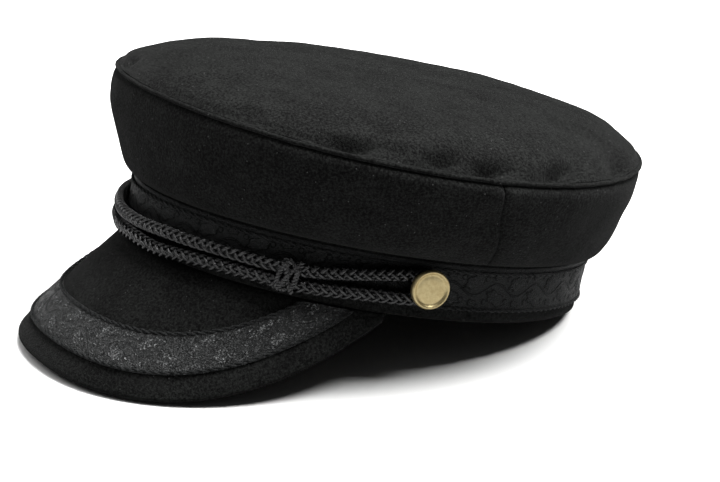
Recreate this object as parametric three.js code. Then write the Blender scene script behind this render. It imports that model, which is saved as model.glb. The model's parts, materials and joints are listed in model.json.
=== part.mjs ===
// A soft peaked cap of dark wool cloth, with a ribbon round the band and the peak,
// a braided chin cord, two sliding knots and two brass buttons.
// Lengths are in millimetres. The peak faces -Y, the wearer's left is +X and +Z is up.
// Each piece is made with the band level, its lower edge at height zero. The whole cap
// then leans back until the peak's edge and the back of the band rest on the ground.
import * as THREE from "three";

// Clearance between two pieces that touch
const SEAT_GAP = 0.3;

// Head band, outside sizes
const BAND_LENGTH = 202;
const BAND_WIDTH = 173.6;
const BAND_WALL = 2.4;

// Woven ribbon on the band and on the peak. On the band it lies between a hem and a
// headroom left bare under the crown's fold.
const RIBBON_WIDTH = 18.6;
const RIBBON_THICKNESS = 0.6;
const RIBBON_HEM = 4.8;
const RIBBON_HEADROOM = 1.3;

// Crown: a top panel and two side panels of one cloth. The spreads are how far the top
// seam stands outside the band at the sides and at the ends.
const CLOTH = 2;
const SIDE_SPREAD = 29.2;
const END_SPREAD = 9;
const CROWN_FORWARD = 3.3;
const SIDE_HEIGHT = 40.4;
const SEAM_BACK_RISE = 3.3;
const SEAM_END_RISE = 1.8;
const OVERHANG = 2.4;
const OVERHANG_DROP = 1.3;
const PUFF_HEIGHT = 14;
const DENT_DEPTH = 4;
const WELT_DIAMETER = 1.8;
const SIDE_SEAM_TOP = 86;
const SIDE_SEAM_FOOT = 93;

// Peak: straight rulings from the band's lower edge, steeper towards the corners
const PEAK_LENGTH = 63.2;
const PEAK_THICKNESS = 3;
const PEAK_DROP = 55;
const PEAK_CORNER_DROP = 61;
const PEAK_SPAN = 74.5;
const TRIM_INSET = 10.2;
const TRIM_END_WIDTH = 1.8;

// Chin cord, sliding knots and buttons
const CORD_DIAMETER = 5.6;
const KNOT_ANGLE = 49.3;
const KNOT_WIDTH = 6.7;
const KNOT_WALL = 1.2;
const KNOT_CLEARANCE = 0.4;
const KNOT_LIFT_SPREAD = 9.9;
const BUTTON_ANGLE = 80;
const BUTTON_DIAMETER = 16.1;
const BUTTON_THICKNESS = 2.6;
const BUTTON_RIM = 1.7;
const BUTTON_BEVEL = 0.65;
const SHANK_DIAMETER = 3.6;

// Fineness of the facets
const STEPS_AROUND = 72;
const STEPS_SIDE_PANEL = 34;
const STEPS_PEAK = 34;
const STEPS_STRAND = 42;
const STEPS_CORD_END = 6;
const STEPS_KNOT_BEND = 5;
const STEPS_BUTTON = 24;
const CORD_SIDES = 8;
const WELT_SIDES = 6;

// Side panel, foot to seam. Rise is a share of the height between them, reach a share
// of the way from the foot's oval out to the seam's.
const SIDE_ROWS = [
  { rise: 0, reach: 0 },
  { rise: 0.05, reach: 0.24 },
  { rise: 0.14, reach: 0.42 },
  { rise: 0.3, reach: 0.63 },
  { rise: 0.5, reach: 0.82 },
  { rise: 0.7, reach: 0.98 },
  { rise: 0.86, reach: 1.07 },
  { rise: 0.95, reach: 1.08 },
  { rise: 1, reach: 1.01 },
];

// Top panel, rim to middle. Out is a share of the seam's oval, rise a share of the puff.
const TOP_ROWS = [
  { out: 1, rise: 0 },
  { out: 0.995, rise: 0.13 },
  { out: 0.97, rise: 0.3 },
  { out: 0.92, rise: 0.5 },
  { out: 0.85, rise: 0.69 },
  { out: 0.74, rise: 0.86 },
  { out: 0.56, rise: 0.96 },
  { out: 0.3, rise: 1 },
];

// Hollows of the top panel. Turn and spread are degrees round the cap from the front,
// out and width shares of the seam's oval, depth a share of the dent depth.
// A depth below zero is a bulge.
const TOP_DENTS = [
  { turn: 53, spread: 9, out: 0.93, width: 0.09, depth: 0.95 },
  { turn: 76, spread: 9, out: 0.88, width: 0.1, depth: -0.4 },
  { turn: 86, spread: 8, out: 0.95, width: 0.07, depth: 0.9 },
  { turn: 101, spread: 9, out: 0.9, width: 0.1, depth: -0.4 },
  { turn: 113, spread: 8, out: 0.93, width: 0.08, depth: 0.8 },
  { turn: 126, spread: 8, out: 0.8, width: 0.12, depth: 0.35 },
  { turn: 150, spread: 14, out: 0.93, width: 0.12, depth: 0.15 },
  { turn: -165, spread: 26, out: 0.9, width: 0.15, depth: 0.25 },
  { turn: 18, spread: 14, out: 0.85, width: 0.15, depth: 0.3 },
  { turn: -42, spread: 12, out: 0.92, width: 0.1, depth: 0.6 },
  { turn: -78, spread: 10, out: 0.93, width: 0.09, depth: 0.7 },
  { turn: -96, spread: 9, out: 0.9, width: 0.1, depth: -0.35 },
  { turn: -128, spread: 12, out: 0.93, width: 0.09, depth: 0.6 },
];

// Hollows of the side panels. Rise and height are shares of the panel's height.
const SIDE_DENTS = [
  { turn: 86, spread: 5, rise: 0.62, height: 0.2, depth: 0.6 },
  { turn: 93, spread: 5, rise: 0.35, height: 0.25, depth: -0.3 },
  { turn: 62, spread: 16, rise: 0.45, height: 0.3, depth: 0.3 },
  { turn: 28, spread: 14, rise: 0.5, height: 0.3, depth: -0.25 },
  { turn: 118, spread: 12, rise: 0.6, height: 0.25, depth: 0.35 },
  { turn: 142, spread: 12, rise: 0.4, height: 0.25, depth: 0.1 },
  { turn: 152, spread: 18, rise: 0.22, height: 0.25, depth: -0.45 },
  { turn: 152, spread: 16, rise: 0.68, height: 0.2, depth: -0.3 },
  { turn: 172, spread: 14, rise: 0.5, height: 0.3, depth: -0.3 },
  { turn: -24, spread: 10, rise: 0.35, height: 0.3, depth: 0.1 },
  { turn: -20, spread: 18, rise: 0.75, height: 0.35, depth: -0.55 },
  { turn: -60, spread: 14, rise: 0.5, height: 0.3, depth: 0.3 },
  { turn: -92, spread: 6, rise: 0.6, height: 0.22, depth: 0.5 },
  { turn: -130, spread: 14, rise: 0.5, height: 0.3, depth: 0.4 },
];

// Chin cord, front to button. Turn is a share of the button's angle, middle a share of
// the buttons' height, part how far the strands stand apart: 0 side by side, 1 as far as
// the bend round the shank takes them.
const CORD_ROWS = [
  { turn: 0, middle: 0.49, part: 0.08 },
  { turn: 0.125, middle: 0.49, part: 0.08 },
  { turn: 0.25, middle: 0.55, part: 0.08 },
  { turn: 0.36, middle: 0.6, part: 0.1 },
  { turn: 0.46, middle: 0.625, part: 0 },
  { turn: 0.62, middle: 0.64, part: 0 },
  { turn: 0.7, middle: 0.68, part: 0.16 },
  { turn: 0.78, middle: 0.76, part: 0.36 },
  { turn: 0.86, middle: 0.85, part: 0.62 },
  { turn: 0.94, middle: 0.93, part: 0.92 },
  { turn: 1, middle: 1, part: 1 },
];
// On the wearer's left of the front the strands also stand apart round one place. Turn and
// spread are degrees, part is added to the table's.
const STRAND_PARTING = { turn: 15, spread: 10, part: 0.4 };

// Outline of the peak: length falls off as (1 - share ** power) ** fullness, where share
// runs from 0 in front to 1 at a corner
const PEAK_OUTLINE_POWER = 3.25;
const PEAK_OUTLINE_FULLNESS = 1.15;
const PEAK_LAST_SHARE = 0.975;
// The worn peak is bent up a little on the wearer's right. Turn and spread are degrees
// from the front, drop degrees taken off the slope, length is added there.
const PEAK_BEND = { turn: -28, spread: 20, drop: 2, length: 1.2 };
// Share by which the rulings turn from square to the band towards straight ahead
const PEAK_FORWARD_SHARE = 0.42;
// Places down the peak, as shares of its length, that carry a corner of its section
const PEAK_STATIONS = [0.25, 0.5, 0.75, 1];
// Turn, in degrees, over which a direction along the peak is measured and its ends found
const PEAK_PROBE = 0.5;

const radians = THREE.MathUtils.degToRad;
const lerp = THREE.MathUtils.lerp;
const bandHalfWidth = BAND_WIDTH / 2;
const bandHalfLength = BAND_LENGTH / 2;
const bandHeight = RIBBON_HEM + RIBBON_WIDTH + RIBBON_HEADROOM + OVERHANG_DROP;
const ribbonFace = SEAT_GAP + RIBBON_THICKNESS;
const ribbonTop = RIBBON_HEM + RIBBON_WIDTH;
const seamMiddle = bandHeight + SIDE_HEIGHT;
const cordRadius = CORD_DIAMETER / 2;
const buttonHeight = RIBBON_HEM + RIBBON_WIDTH / 2;
const buttonAngle = radians(BUTTON_ANGLE);

// Point on an upright oval. The angle is zero in front and turns to the wearer's left.
function ovalPoint(halfWidth, halfLength, angle, height, forward = 0) {
  const y = -halfLength * Math.cos(angle) - forward;
  return new THREE.Vector3(halfWidth * Math.sin(angle), y, height);
}

// Point a given distance outside the band's face
function bandPoint(angle, outside, height) {
  return ovalPoint(bandHalfWidth + outside, bandHalfLength + outside, angle, height);
}

function bandNormal(angle) {
  const across = Math.sin(angle) / bandHalfWidth;
  const ahead = Math.cos(angle) / bandHalfLength;
  return new THREE.Vector3(across, -ahead, 0).normalize();
}

// Length along the band for each radian of angle
function bandRate(angle) {
  return Math.hypot(bandHalfWidth * Math.cos(angle), bandHalfLength * Math.sin(angle));
}

// Bell curve that is one at zero and falls away on both sides
function bell(distance) {
  return Math.exp(-distance * distance);
}

// Degrees between two angles, the short way round
function turnBetween(first, second) {
  return THREE.MathUtils.euclideanModulo(first - second + 180, 360) - 180;
}

function anglesBetween(start, end, steps) {
  return Array.from({ length: steps + 1 }, (_, i) => radians(lerp(start, end, i / steps)));
}

function anglesAround(steps) {
  return anglesBetween(0, 360, steps).slice(0, steps);
}

// Collects vertices and faces of one closed body
class Body {
  constructor() {
    this.positions = [];
    this.indices = [];
  }

  addLoop(points) {
    const first = this.positions.length / 3;
    points.forEach((point) => this.positions.push(point.x, point.y, point.z));
    return points.map((_, i) => first + i);
  }

  // Joins two loops of equal count
  bridge(lower, upper) {
    const count = lower.length;
    for (let i = 0; i < count; i += 1) {
      const next = (i + 1) % count;
      this.indices.push(lower[i], lower[next], upper[next]);
      this.indices.push(lower[i], upper[next], upper[i]);
    }
  }

  // Turns every face round where the body came out inside out
  faceOutward() {
    const corners = [new THREE.Vector3(), new THREE.Vector3(), new THREE.Vector3()];
    let volume = 0;
    for (let i = 0; i < this.indices.length; i += 3) {
      corners.forEach((corner, k) => corner.fromArray(this.positions, 3 * this.indices[i + k]));
      volume += corners[0].dot(corners[1].cross(corners[2]));
    }
    if (volume < 0) this.indices.reverse();
  }

  geometry() {
    this.faceOutward();
    const geometry = new THREE.BufferGeometry();
    geometry.setAttribute("position", new THREE.Float32BufferAttribute(this.positions, 3));
    geometry.setIndex(this.indices);
    geometry.computeVertexNormals();
    return geometry;
  }
}

// Triangles over a section that wind the way the section does. A section is flattened to
// its distance from the middle of the cap and its height.
function coverOf(section) {
  const flat = section.map((point) => new THREE.Vector2(Math.hypot(point.x, point.y), point.z));
  const windsLeft = THREE.ShapeUtils.area(flat) > 0;
  return THREE.ShapeUtils.triangulateShape(flat, []).map(([a, b, c]) => {
    const turnsLeft = THREE.ShapeUtils.area([flat[a], flat[b], flat[c]]) > 0;
    return turnsLeft === windsLeft ? [a, b, c] : [c, b, a];
  });
}

// Body through closed sections that follow each other round a ring
function ringOf(sections) {
  const body = new Body();
  const loops = sections.map((section) => body.addLoop(section));
  loops.forEach((loop, i) => body.bridge(loop, loops[(i + 1) % loops.length]));
  return body.geometry();
}

// Body through closed sections in a row, covered at both ends
function rowOf(sections) {
  const body = new Body();
  const loops = sections.map((section) => body.addLoop(section));
  const last = loops.length - 1;
  loops.slice(1).forEach((loop, i) => body.bridge(loops[i], loop));
  coverOf(sections[0]).forEach(([a, b, c]) => body.indices.push(loops[0][c], loops[0][b], loops[0][a]));
  coverOf(sections[last]).forEach((corners) => corners.forEach((i) => body.indices.push(loops[last][i])));
  return body.geometry();
}

// Body through closed loops stacked between two single points
function stackOf(firstPoint, rings, lastPoint) {
  const body = new Body();
  const [first] = body.addLoop([firstPoint]);
  const loops = rings.map((ring) => body.addLoop(ring));
  const [last] = body.addLoop([lastPoint]);
  const end = loops[loops.length - 1];
  loops.slice(1).forEach((loop, i) => body.bridge(loops[i], loop));
  loops[0].forEach((corner, i) => body.indices.push(first, loops[0][(i + 1) % STEPS_AROUND], corner));
  end.forEach((corner, i) => body.indices.push(last, corner, end[(i + 1) % STEPS_AROUND]));
  return body.geometry();
}

// Closed tube round a closed line. Each station holds its middle and two unit directions
// square to the line.
function loopTube(stations, radius, sides) {
  return ringOf(stations.map(({ middle, outward, upward }) =>
    Array.from({ length: sides }, (_, i) => {
      const turn = (2 * Math.PI * i) / sides;
      return middle
        .clone()
        .addScaledVector(outward, radius * Math.cos(turn))
        .addScaledVector(upward, radius * Math.sin(turn));
    })));
}

// Sum of a table's hollows at one place, as a share of the dent depth. The place along
// the panel is compared with the table's column of that name.
function hollowAt(table, angle, column, width, place) {
  const turn = THREE.MathUtils.radToDeg(angle);
  return table.reduce((sum, row) => {
    const around = bell(turnBetween(turn, row.turn) / row.spread);
    return sum + row.depth * around * bell((place - row[column]) / row[width]);
  }, 0);
}

// Inner side of a cloth wall. The outer side is a grid: one line of points for each angle.
function innerSide(grid, wraps) {
  const middle = new THREE.Vector3(0, 0, seamMiddle / 2);
  const count = grid.length;
  return grid.map((line, i) => {
    const before = grid[wraps ? (i + count - 1) % count : Math.max(i - 1, 0)];
    const after = grid[wraps ? (i + 1) % count : Math.min(i + 1, count - 1)];
    return line.map((point, j) => {
      const around = after[j].clone().sub(before[j]);
      const along = line[Math.min(j + 1, line.length - 1)].clone().sub(line[Math.max(j - 1, 0)]);
      const normal = around.cross(along).normalize();
      const facesOut = normal.dot(point.clone().sub(middle)) > 0;
      return point.clone().addScaledVector(normal, facesOut ? -CLOTH : CLOTH);
    });
  });
}

// Point moved level towards the middle of the cap by the cloth's thickness
function levelInside(point, angle) {
  return point.clone().addScaledVector(bandNormal(angle), -CLOTH);
}

// Height of the top seam, which dips at the sides and rises at the back. The share is
// how far out from the middle of the top panel the place lies.
function seamHeight(angle, share = 1) {
  const back = -SEAM_BACK_RISE * share * Math.cos(angle);
  return seamMiddle + back + SEAM_END_RISE * share * share * Math.cos(2 * angle);
}

function crownPoint(angle, share, height) {
  const halfWidth = share * (bandHalfWidth + SIDE_SPREAD);
  const halfLength = share * (bandHalfLength + END_SPREAD);
  return ovalPoint(halfWidth, halfLength, angle, height, CROWN_FORWARD);
}

// The welt lies in a slit between the side panels and the top panel
const weltSlit = WELT_DIAMETER + 2 * SEAT_GAP;

function makeCrownTop() {
  const angles = anglesAround(STEPS_AROUND);
  const outer = angles.map((angle) => TOP_ROWS.map(({ out, rise }) => {
    const hollow = rise * DENT_DEPTH * hollowAt(TOP_DENTS, angle, "out", "width", out);
    const height = seamHeight(angle, out) + weltSlit / 2 + rise * PUFF_HEIGHT - hollow;
    return crownPoint(angle, out, height);
  }));
  const inner = innerSide(outer, true);
  inner.forEach((line, i) => {
    line[0] = levelInside(outer[i][0], angles[i]);
  });
  const ring = (grid, j) => grid.map((line) => line[j]);
  const outward = TOP_ROWS.map((_, j) => ring(outer, TOP_ROWS.length - 1 - j));
  const inward = TOP_ROWS.map((_, j) => ring(inner, j));
  const top = crownPoint(0, 0, seamMiddle + weltSlit / 2 + PUFF_HEIGHT);
  return stackOf(top, [...outward, ...inward], top.clone().setZ(top.z - CLOTH));
}

function makeCrownWelt() {
  const upward = new THREE.Vector3(0, 0, 1);
  const stations = anglesAround(STEPS_AROUND).map((angle) => {
    const outward = bandNormal(angle);
    const middle = crownPoint(angle, 1, seamHeight(angle)).addScaledVector(outward, -SEAT_GAP);
    return { middle, outward, upward };
  });
  return loopTube(stations, WELT_DIAMETER / 2, WELT_SIDES);
}

// Side panel between two seams. Its ends are given in degrees for the angle of the side
// seam at a height. Its foot is folded over the band's upper edge.
function makeCrownSide(endsAt) {
  const footHeight = bandHeight - OVERHANG_DROP;
  const lipHeight = bandHeight + SEAT_GAP;
  const feet = anglesBetween(...endsAt(SIDE_SEAM_FOOT), STEPS_SIDE_PANEL);
  const seams = anglesBetween(...endsAt(SIDE_SEAM_TOP), STEPS_SIDE_PANEL);
  const outer = feet.map((_, i) => SIDE_ROWS.map(({ rise, reach }) => {
    const angle = lerp(feet[i], seams[i], rise);
    const foot = bandPoint(angle, OVERHANG, footHeight);
    const seam = crownPoint(angle, 1, seamHeight(angle) - weltSlit / 2);
    const height = lerp(foot.z, seam.z, rise);
    const hollow = 4 * rise * (1 - rise) * hollowAt(SIDE_DENTS, angle, "rise", "height", rise);
    const point = foot.lerp(seam, reach).setZ(height);
    return point.addScaledVector(bandNormal(angle), -DENT_DEPTH * hollow);
  }));
  const inner = innerSide(outer, false);
  return rowOf(outer.map((line, i) => {
    const angle = feet[i];
    const lipInside = SEAT_GAP - BAND_WALL;
    const inside = inner[i].slice(1, -1).map((point) => point.setZ(Math.max(point.z, lipHeight + CLOTH)));
    return [
      bandPoint(angle, lipInside, lipHeight),
      bandPoint(angle, SEAT_GAP, lipHeight),
      bandPoint(angle, SEAT_GAP, footHeight),
      ...line,
      levelInside(line[line.length - 1], seams[i]),
      ...inside.reverse(),
      bandPoint(angle, SEAT_GAP, lipHeight + CLOTH),
      bandPoint(angle, lipInside, lipHeight + CLOTH),
    ];
  }));
}

// Upright ring round the head between two distances outside the band's face
function makeBandRing(inside, outside, bottom, top) {
  return ringOf(anglesAround(STEPS_AROUND).map((angle) => [
    bandPoint(angle, inside, bottom),
    bandPoint(angle, outside, bottom),
    bandPoint(angle, outside, top),
    bandPoint(angle, inside, top),
  ]));
}

function peakShare(angle) {
  return Math.abs(angle) / radians(PEAK_SPAN);
}

// How much of the bend is felt at an angle, at most one
function bendShare(angle) {
  return bell(turnBetween(THREE.MathUtils.radToDeg(angle), PEAK_BEND.turn) / PEAK_BEND.spread);
}

function peakLength(angle) {
  const left = Math.max(1 - peakShare(angle) ** PEAK_OUTLINE_POWER, 0);
  return (PEAK_LENGTH + PEAK_BEND.length * bendShare(angle)) * left ** PEAK_OUTLINE_FULLNESS;
}

function peakDrop(angle) {
  const slope = lerp(PEAK_DROP, PEAK_CORNER_DROP, peakShare(angle) ** 2);
  return radians(slope - PEAK_BEND.drop * bendShare(angle));
}

// Unit direction down the peak's slope
function peakRuling(angle) {
  const ahead = new THREE.Vector3(0, -1, 0);
  const level = bandNormal(angle).lerp(ahead, PEAK_FORWARD_SHARE).normalize();
  return level.multiplyScalar(Math.cos(peakDrop(angle))).setZ(-Math.sin(peakDrop(angle)));
}

// Point on the peak's upper face
function peakPoint(angle, distance) {
  return bandPoint(angle, 0, -SEAT_GAP).addScaledVector(peakRuling(angle), distance);
}

function peakNormal(angle, distance) {
  const step = radians(PEAK_PROBE);
  const along = peakPoint(angle + step, distance).sub(peakPoint(angle - step, distance));
  return peakRuling(angle).cross(along).normalize();
}

// Section at one angle: a tongue under the band, the slope down to the edge and back
function peakSection(angle) {
  const tongue = BAND_WALL + SEAT_GAP;
  const length = peakLength(angle);
  const drop = peakDrop(angle);
  const bend = (PEAK_THICKNESS * (1 - Math.cos(drop))) / Math.sin(drop);
  const upper = PEAK_STATIONS.map((share) => peakPoint(angle, share * length));
  const lower = [0, ...PEAK_STATIONS].map((share) => {
    const distance = lerp(bend, length, share);
    return peakPoint(angle, distance).addScaledVector(peakNormal(angle, distance), -PEAK_THICKNESS);
  });
  return [
    bandPoint(angle, -tongue, -SEAT_GAP),
    peakPoint(angle, 0),
    ...upper,
    ...lower.reverse(),
    bandPoint(angle, -tongue, -SEAT_GAP - PEAK_THICKNESS),
  ];
}

function makePeak() {
  const end = PEAK_SPAN * PEAK_LAST_SHARE;
  return rowOf(anglesBetween(-end, end, STEPS_PEAK).map(peakSection));
}

// Distance down a ruling to a line that runs a given way in from the peak's edge
function distanceToInset(angle, inset) {
  const step = radians(PEAK_PROBE);
  const edge = (turn) => peakPoint(turn, peakLength(turn));
  const along = edge(angle + step).sub(edge(angle - step)).normalize();
  const slant = Math.sin(peakRuling(angle).angleTo(along));
  return peakLength(angle) - inset / slant;
}

// The ribbon follows the edge of the peak and runs out at the seam with the band
function peakRibbonSection(angle) {
  const outerEdge = distanceToInset(angle, TRIM_INSET);
  const innerEdge = Math.max(distanceToInset(angle, TRIM_INSET + RIBBON_WIDTH), 2 * SEAT_GAP);
  const raised = (distance, height) =>
    peakPoint(angle, distance).addScaledVector(peakNormal(angle, distance), height);
  return [
    raised(innerEdge, SEAT_GAP),
    raised(outerEdge, SEAT_GAP),
    raised(outerEdge, ribbonFace),
    raised(innerEdge, ribbonFace),
  ];
}

function makePeakRibbon() {
  const runsOut = (turn) => distanceToInset(radians(turn), TRIM_INSET) < TRIM_END_WIDTH;
  let end = PEAK_SPAN * PEAK_LAST_SHARE;
  while (end > PEAK_PROBE && runsOut(end)) end -= PEAK_PROBE;
  return rowOf(anglesBetween(-end, end, STEPS_PEAK).map(peakRibbonSection));
}

// Distance between the strands, side by side and where they bend round the shank
const strandsClosed = CORD_DIAMETER + SEAT_GAP;
const strandsOpen = CORD_DIAMETER + SHANK_DIAMETER + 2 * SEAT_GAP;
const cordTable = new THREE.CubicInterpolant(
  CORD_ROWS.map((row) => row.turn),
  CORD_ROWS.flatMap((row) => [row.middle, row.part]),
  2,
);

// Middle of the cord outside the band's face. The knot's wall lifts it off the ribbon.
function cordOutside(angle) {
  const away = (Math.abs(angle) - radians(KNOT_ANGLE)) / radians(KNOT_LIFT_SPREAD);
  return ribbonFace + SEAT_GAP + cordRadius + (KNOT_WALL + KNOT_CLEARANCE) * bell(away);
}

// Heights of the pair of strands at an angle
function strandHeights(angle) {
  const [middle, part] = cordTable.evaluate(Math.abs(angle) / buttonAngle);
  const away = turnBetween(THREE.MathUtils.radToDeg(angle), STRAND_PARTING.turn);
  const parting = STRAND_PARTING.part * bell(away / STRAND_PARTING.spread);
  const apart = lerp(strandsClosed, strandsOpen, part + parting);
  return { middle: middle * buttonHeight, upper: apart / 2, lower: -apart / 2 };
}

function cordStation(angle, height) {
  const upward = new THREE.Vector3(0, 0, 1);
  return { middle: bandPoint(angle, cordOutside(angle), height), outward: bandNormal(angle), upward };
}

// Stations of one strand from one button to the other
function strandStations(which) {
  return anglesBetween(-BUTTON_ANGLE, BUTTON_ANGLE, STEPS_STRAND).map((angle) => {
    const heights = strandHeights(angle);
    return cordStation(angle, heights.middle + heights[which]);
  });
}

// Stations of the bend round a button's shank, from the upper strand to the lower one
function endStations(side) {
  const radius = strandsOpen / 2;
  const angle = side * buttonAngle;
  return Array.from({ length: STEPS_CORD_END - 1 }, (_, i) => {
    const turn = Math.PI / 2 - (Math.PI * (i + 1)) / STEPS_CORD_END;
    const past = (radius * Math.cos(turn)) / bandRate(angle);
    const station = cordStation(angle + side * past, buttonHeight + radius * Math.sin(turn));
    const along = new THREE.Vector3().crossVectors(station.upward, station.outward);
    const upward = station.upward.multiplyScalar(Math.sin(turn));
    return { ...station, upward: upward.addScaledVector(along, side * Math.cos(turn)).normalize() };
  });
}

function makeChinCord() {
  const upper = strandStations("upper");
  const lower = strandStations("lower").reverse();
  lower.forEach((station) => station.upward.negate());
  const stations = [...upper, ...endStations(1), ...lower, ...endStations(-1).reverse()];
  return loopTube(stations, cordRadius, CORD_SIDES);
}

// Directions at a place on the band: along it, up and away from it
function bandDirections(angle) {
  const outward = bandNormal(angle);
  const upward = new THREE.Vector3(0, 0, 1);
  return { along: upward.clone().cross(outward), upward, outward };
}

// Sliding knot: a rounded ring round both strands, its hole running along X
function makeKnot() {
  const half = KNOT_WIDTH / 2;
  const hole = cordRadius + KNOT_CLEARANCE;
  const profile = [
    { raised: 0, across: -half },
    { raised: KNOT_WALL / 2, across: -half },
    { raised: KNOT_WALL, across: -half / 2 },
    { raised: KNOT_WALL, across: half / 2 },
    { raised: KNOT_WALL / 2, across: half },
    { raised: 0, across: half },
  ];
  const bend = (start, centre) => Array.from({ length: STEPS_KNOT_BEND + 1 }, (_, i) => {
    const turn = start + (Math.PI * i) / STEPS_KNOT_BEND;
    return profile.map(({ raised, across }) => {
      const reach = hole + raised;
      return new THREE.Vector3(across, centre + reach * Math.sin(turn), reach * Math.cos(turn));
    });
  });
  return ringOf([...bend(0, strandsClosed / 2), ...bend(Math.PI, -strandsClosed / 2)]);
}

// Shank button: a shallow face inside a raised rim, turned round Y from the shank's foot
function makeButton() {
  const shank = SHANK_DIAMETER / 2;
  const back = CORD_DIAMETER + SEAT_GAP;
  const edge = BUTTON_DIAMETER / 2;
  const front = back + BUTTON_THICKNESS;
  const profile = [
    [0, 0],
    [shank, 0],
    [shank, back],
    [edge - BUTTON_BEVEL, back],
    [edge, back + BUTTON_BEVEL],
    [edge, front - BUTTON_BEVEL],
    [edge - BUTTON_BEVEL, front],
    [edge - BUTTON_RIM + BUTTON_BEVEL / 2, front],
    [edge - BUTTON_RIM, front - BUTTON_BEVEL],
    [0, front - BUTTON_BEVEL / 2],
  ];
  return new THREE.LatheGeometry(profile.map(([x, y]) => new THREE.Vector2(x, y)), STEPS_BUTTON);
}

function woolMaterial() {
  return new THREE.MeshStandardMaterial({ color: 0x2b2c2b, roughness: 0.95, metalness: 0 });
}

function ribbonMaterial() {
  return new THREE.MeshStandardMaterial({ color: 0x242524, roughness: 0.6, metalness: 0 });
}

function cordMaterial() {
  return new THREE.MeshStandardMaterial({ color: 0x1c1d1e, roughness: 0.4, metalness: 0 });
}

function brassMaterial() {
  return new THREE.MeshStandardMaterial({ color: 0xb09a6c, roughness: 0.35, metalness: 1 });
}

function namedMesh(name, geometry, material) {
  const mesh = new THREE.Mesh(geometry, material);
  mesh.name = name;
  return mesh;
}

function makeCrown() {
  const crown = new THREE.Group();
  const halfSlit = THREE.MathUtils.radToDeg(SEAT_GAP / bandHalfWidth) / 2;
  const frontEnds = (seam) => [halfSlit - seam, seam - halfSlit];
  const backEnds = (seam) => [seam + halfSlit, 360 - seam - halfSlit];
  crown.add(namedMesh("crown_top", makeCrownTop(), woolMaterial()));
  crown.add(namedMesh("crown_welt", makeCrownWelt(), woolMaterial()));
  crown.add(namedMesh("crown_side_front", makeCrownSide(frontEnds), woolMaterial()));
  crown.add(namedMesh("crown_side_back", makeCrownSide(backEnds), woolMaterial()));
  return crown;
}

function makeHeadBand() {
  const band = new THREE.Group();
  const wall = makeBandRing(-BAND_WALL, 0, 0, bandHeight);
  const ribbon = makeBandRing(SEAT_GAP, ribbonFace, RIBBON_HEM, ribbonTop);
  band.add(namedMesh("cap_band", wall, woolMaterial()));
  band.add(namedMesh("band_ribbon", ribbon, ribbonMaterial()));
  return band;
}

function makePeakGroup() {
  const peak = new THREE.Group();
  peak.add(namedMesh("peak", makePeak(), woolMaterial()));
  peak.add(namedMesh("peak_ribbon", makePeakRibbon(), ribbonMaterial()));
  return peak;
}

// Knot and button of one side: 1 for the wearer's left, -1 for the right
function makeFastening(side, word) {
  const fastening = new THREE.Group();
  const knotAngle = side * radians(KNOT_ANGLE);
  const knotPlace = bandDirections(knotAngle);
  const knot = namedMesh(`knot_${word}`, makeKnot(), cordMaterial());
  const knotBasis = new THREE.Matrix4().makeBasis(knotPlace.along, knotPlace.upward, knotPlace.outward);
  knot.quaternion.setFromRotationMatrix(knotBasis);
  knot.position.copy(bandPoint(knotAngle, cordOutside(knotAngle), strandHeights(knotAngle).middle));
  const { along, upward, outward } = bandDirections(side * buttonAngle);
  const button = namedMesh(`button_${word}`, makeButton(), brassMaterial());
  const basis = new THREE.Matrix4().makeBasis(along, outward, upward.negate());
  button.quaternion.setFromRotationMatrix(basis);
  button.position.copy(bandPoint(side * buttonAngle, ribbonFace + SEAT_GAP, buttonHeight));
  fastening.add(knot, button);
  return fastening;
}

function makeTrim() {
  const trim = new THREE.Group();
  trim.add(namedMesh("chin_cord", makeChinCord(), cordMaterial()));
  trim.add(makeFastening(1, "left"), makeFastening(-1, "right"));
  return trim;
}

// Angle by which the cap leans back when the band's back and the peak touch the ground
function restAngle(peak) {
  const corners = peak.geometry.getAttribute("position");
  let lean = 0;
  for (let i = 0; i < corners.count; i += 1) {
    lean = Math.max(lean, Math.atan2(-corners.getZ(i), bandHalfLength - corners.getY(i)));
  }
  return lean;
}

function makeCap() {
  const level = new THREE.Group();
  level.add(makeCrown(), makeHeadBand(), makePeakGroup(), makeTrim());
  level.rotation.x = -restAngle(level.getObjectByName("peak"));
  const cap = new THREE.Group();
  cap.add(level);
  cap.updateMatrixWorld(true);
  // The origin is on the ground under the middle of the outline
  const box = new THREE.Box3().setFromObject(cap, true);
  const middle = box.getCenter(new THREE.Vector3());
  level.position.set(-middle.x, -middle.y, -box.min.z);
  return cap;
}

export default makeCap();
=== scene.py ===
"""Looks of a soft peaked cap: wool cloth, woven ribbon, braided cord and brass buttons.

Every surface is worked out with the cap level, its band's lower edge at height zero, the
peak towards -Y and the wearer's left towards +X. The record's mount on that edge says how
the cap leans on the ground.
"""

import json
import math

import bpy
import numpy as np
from mathutils import Matrix, Vector, noise


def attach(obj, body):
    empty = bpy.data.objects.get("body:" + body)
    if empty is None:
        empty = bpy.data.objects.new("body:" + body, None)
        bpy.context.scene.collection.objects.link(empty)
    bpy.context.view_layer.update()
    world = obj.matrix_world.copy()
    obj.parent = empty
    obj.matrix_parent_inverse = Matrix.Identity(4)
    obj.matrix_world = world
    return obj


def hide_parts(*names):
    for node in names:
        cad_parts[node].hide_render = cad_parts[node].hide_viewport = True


bl_info = {
    "name": "Soft peaked cap",
    "version": (1, 0, 0),
    "blender": (4, 5, 0),
    "location": "3D View > Sidebar > Cap",
    "description": "Cloth, ribbon, cord and brass of a soft peaked cap, fitted to its solids",
    "category": "Add Mesh",
}

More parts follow.
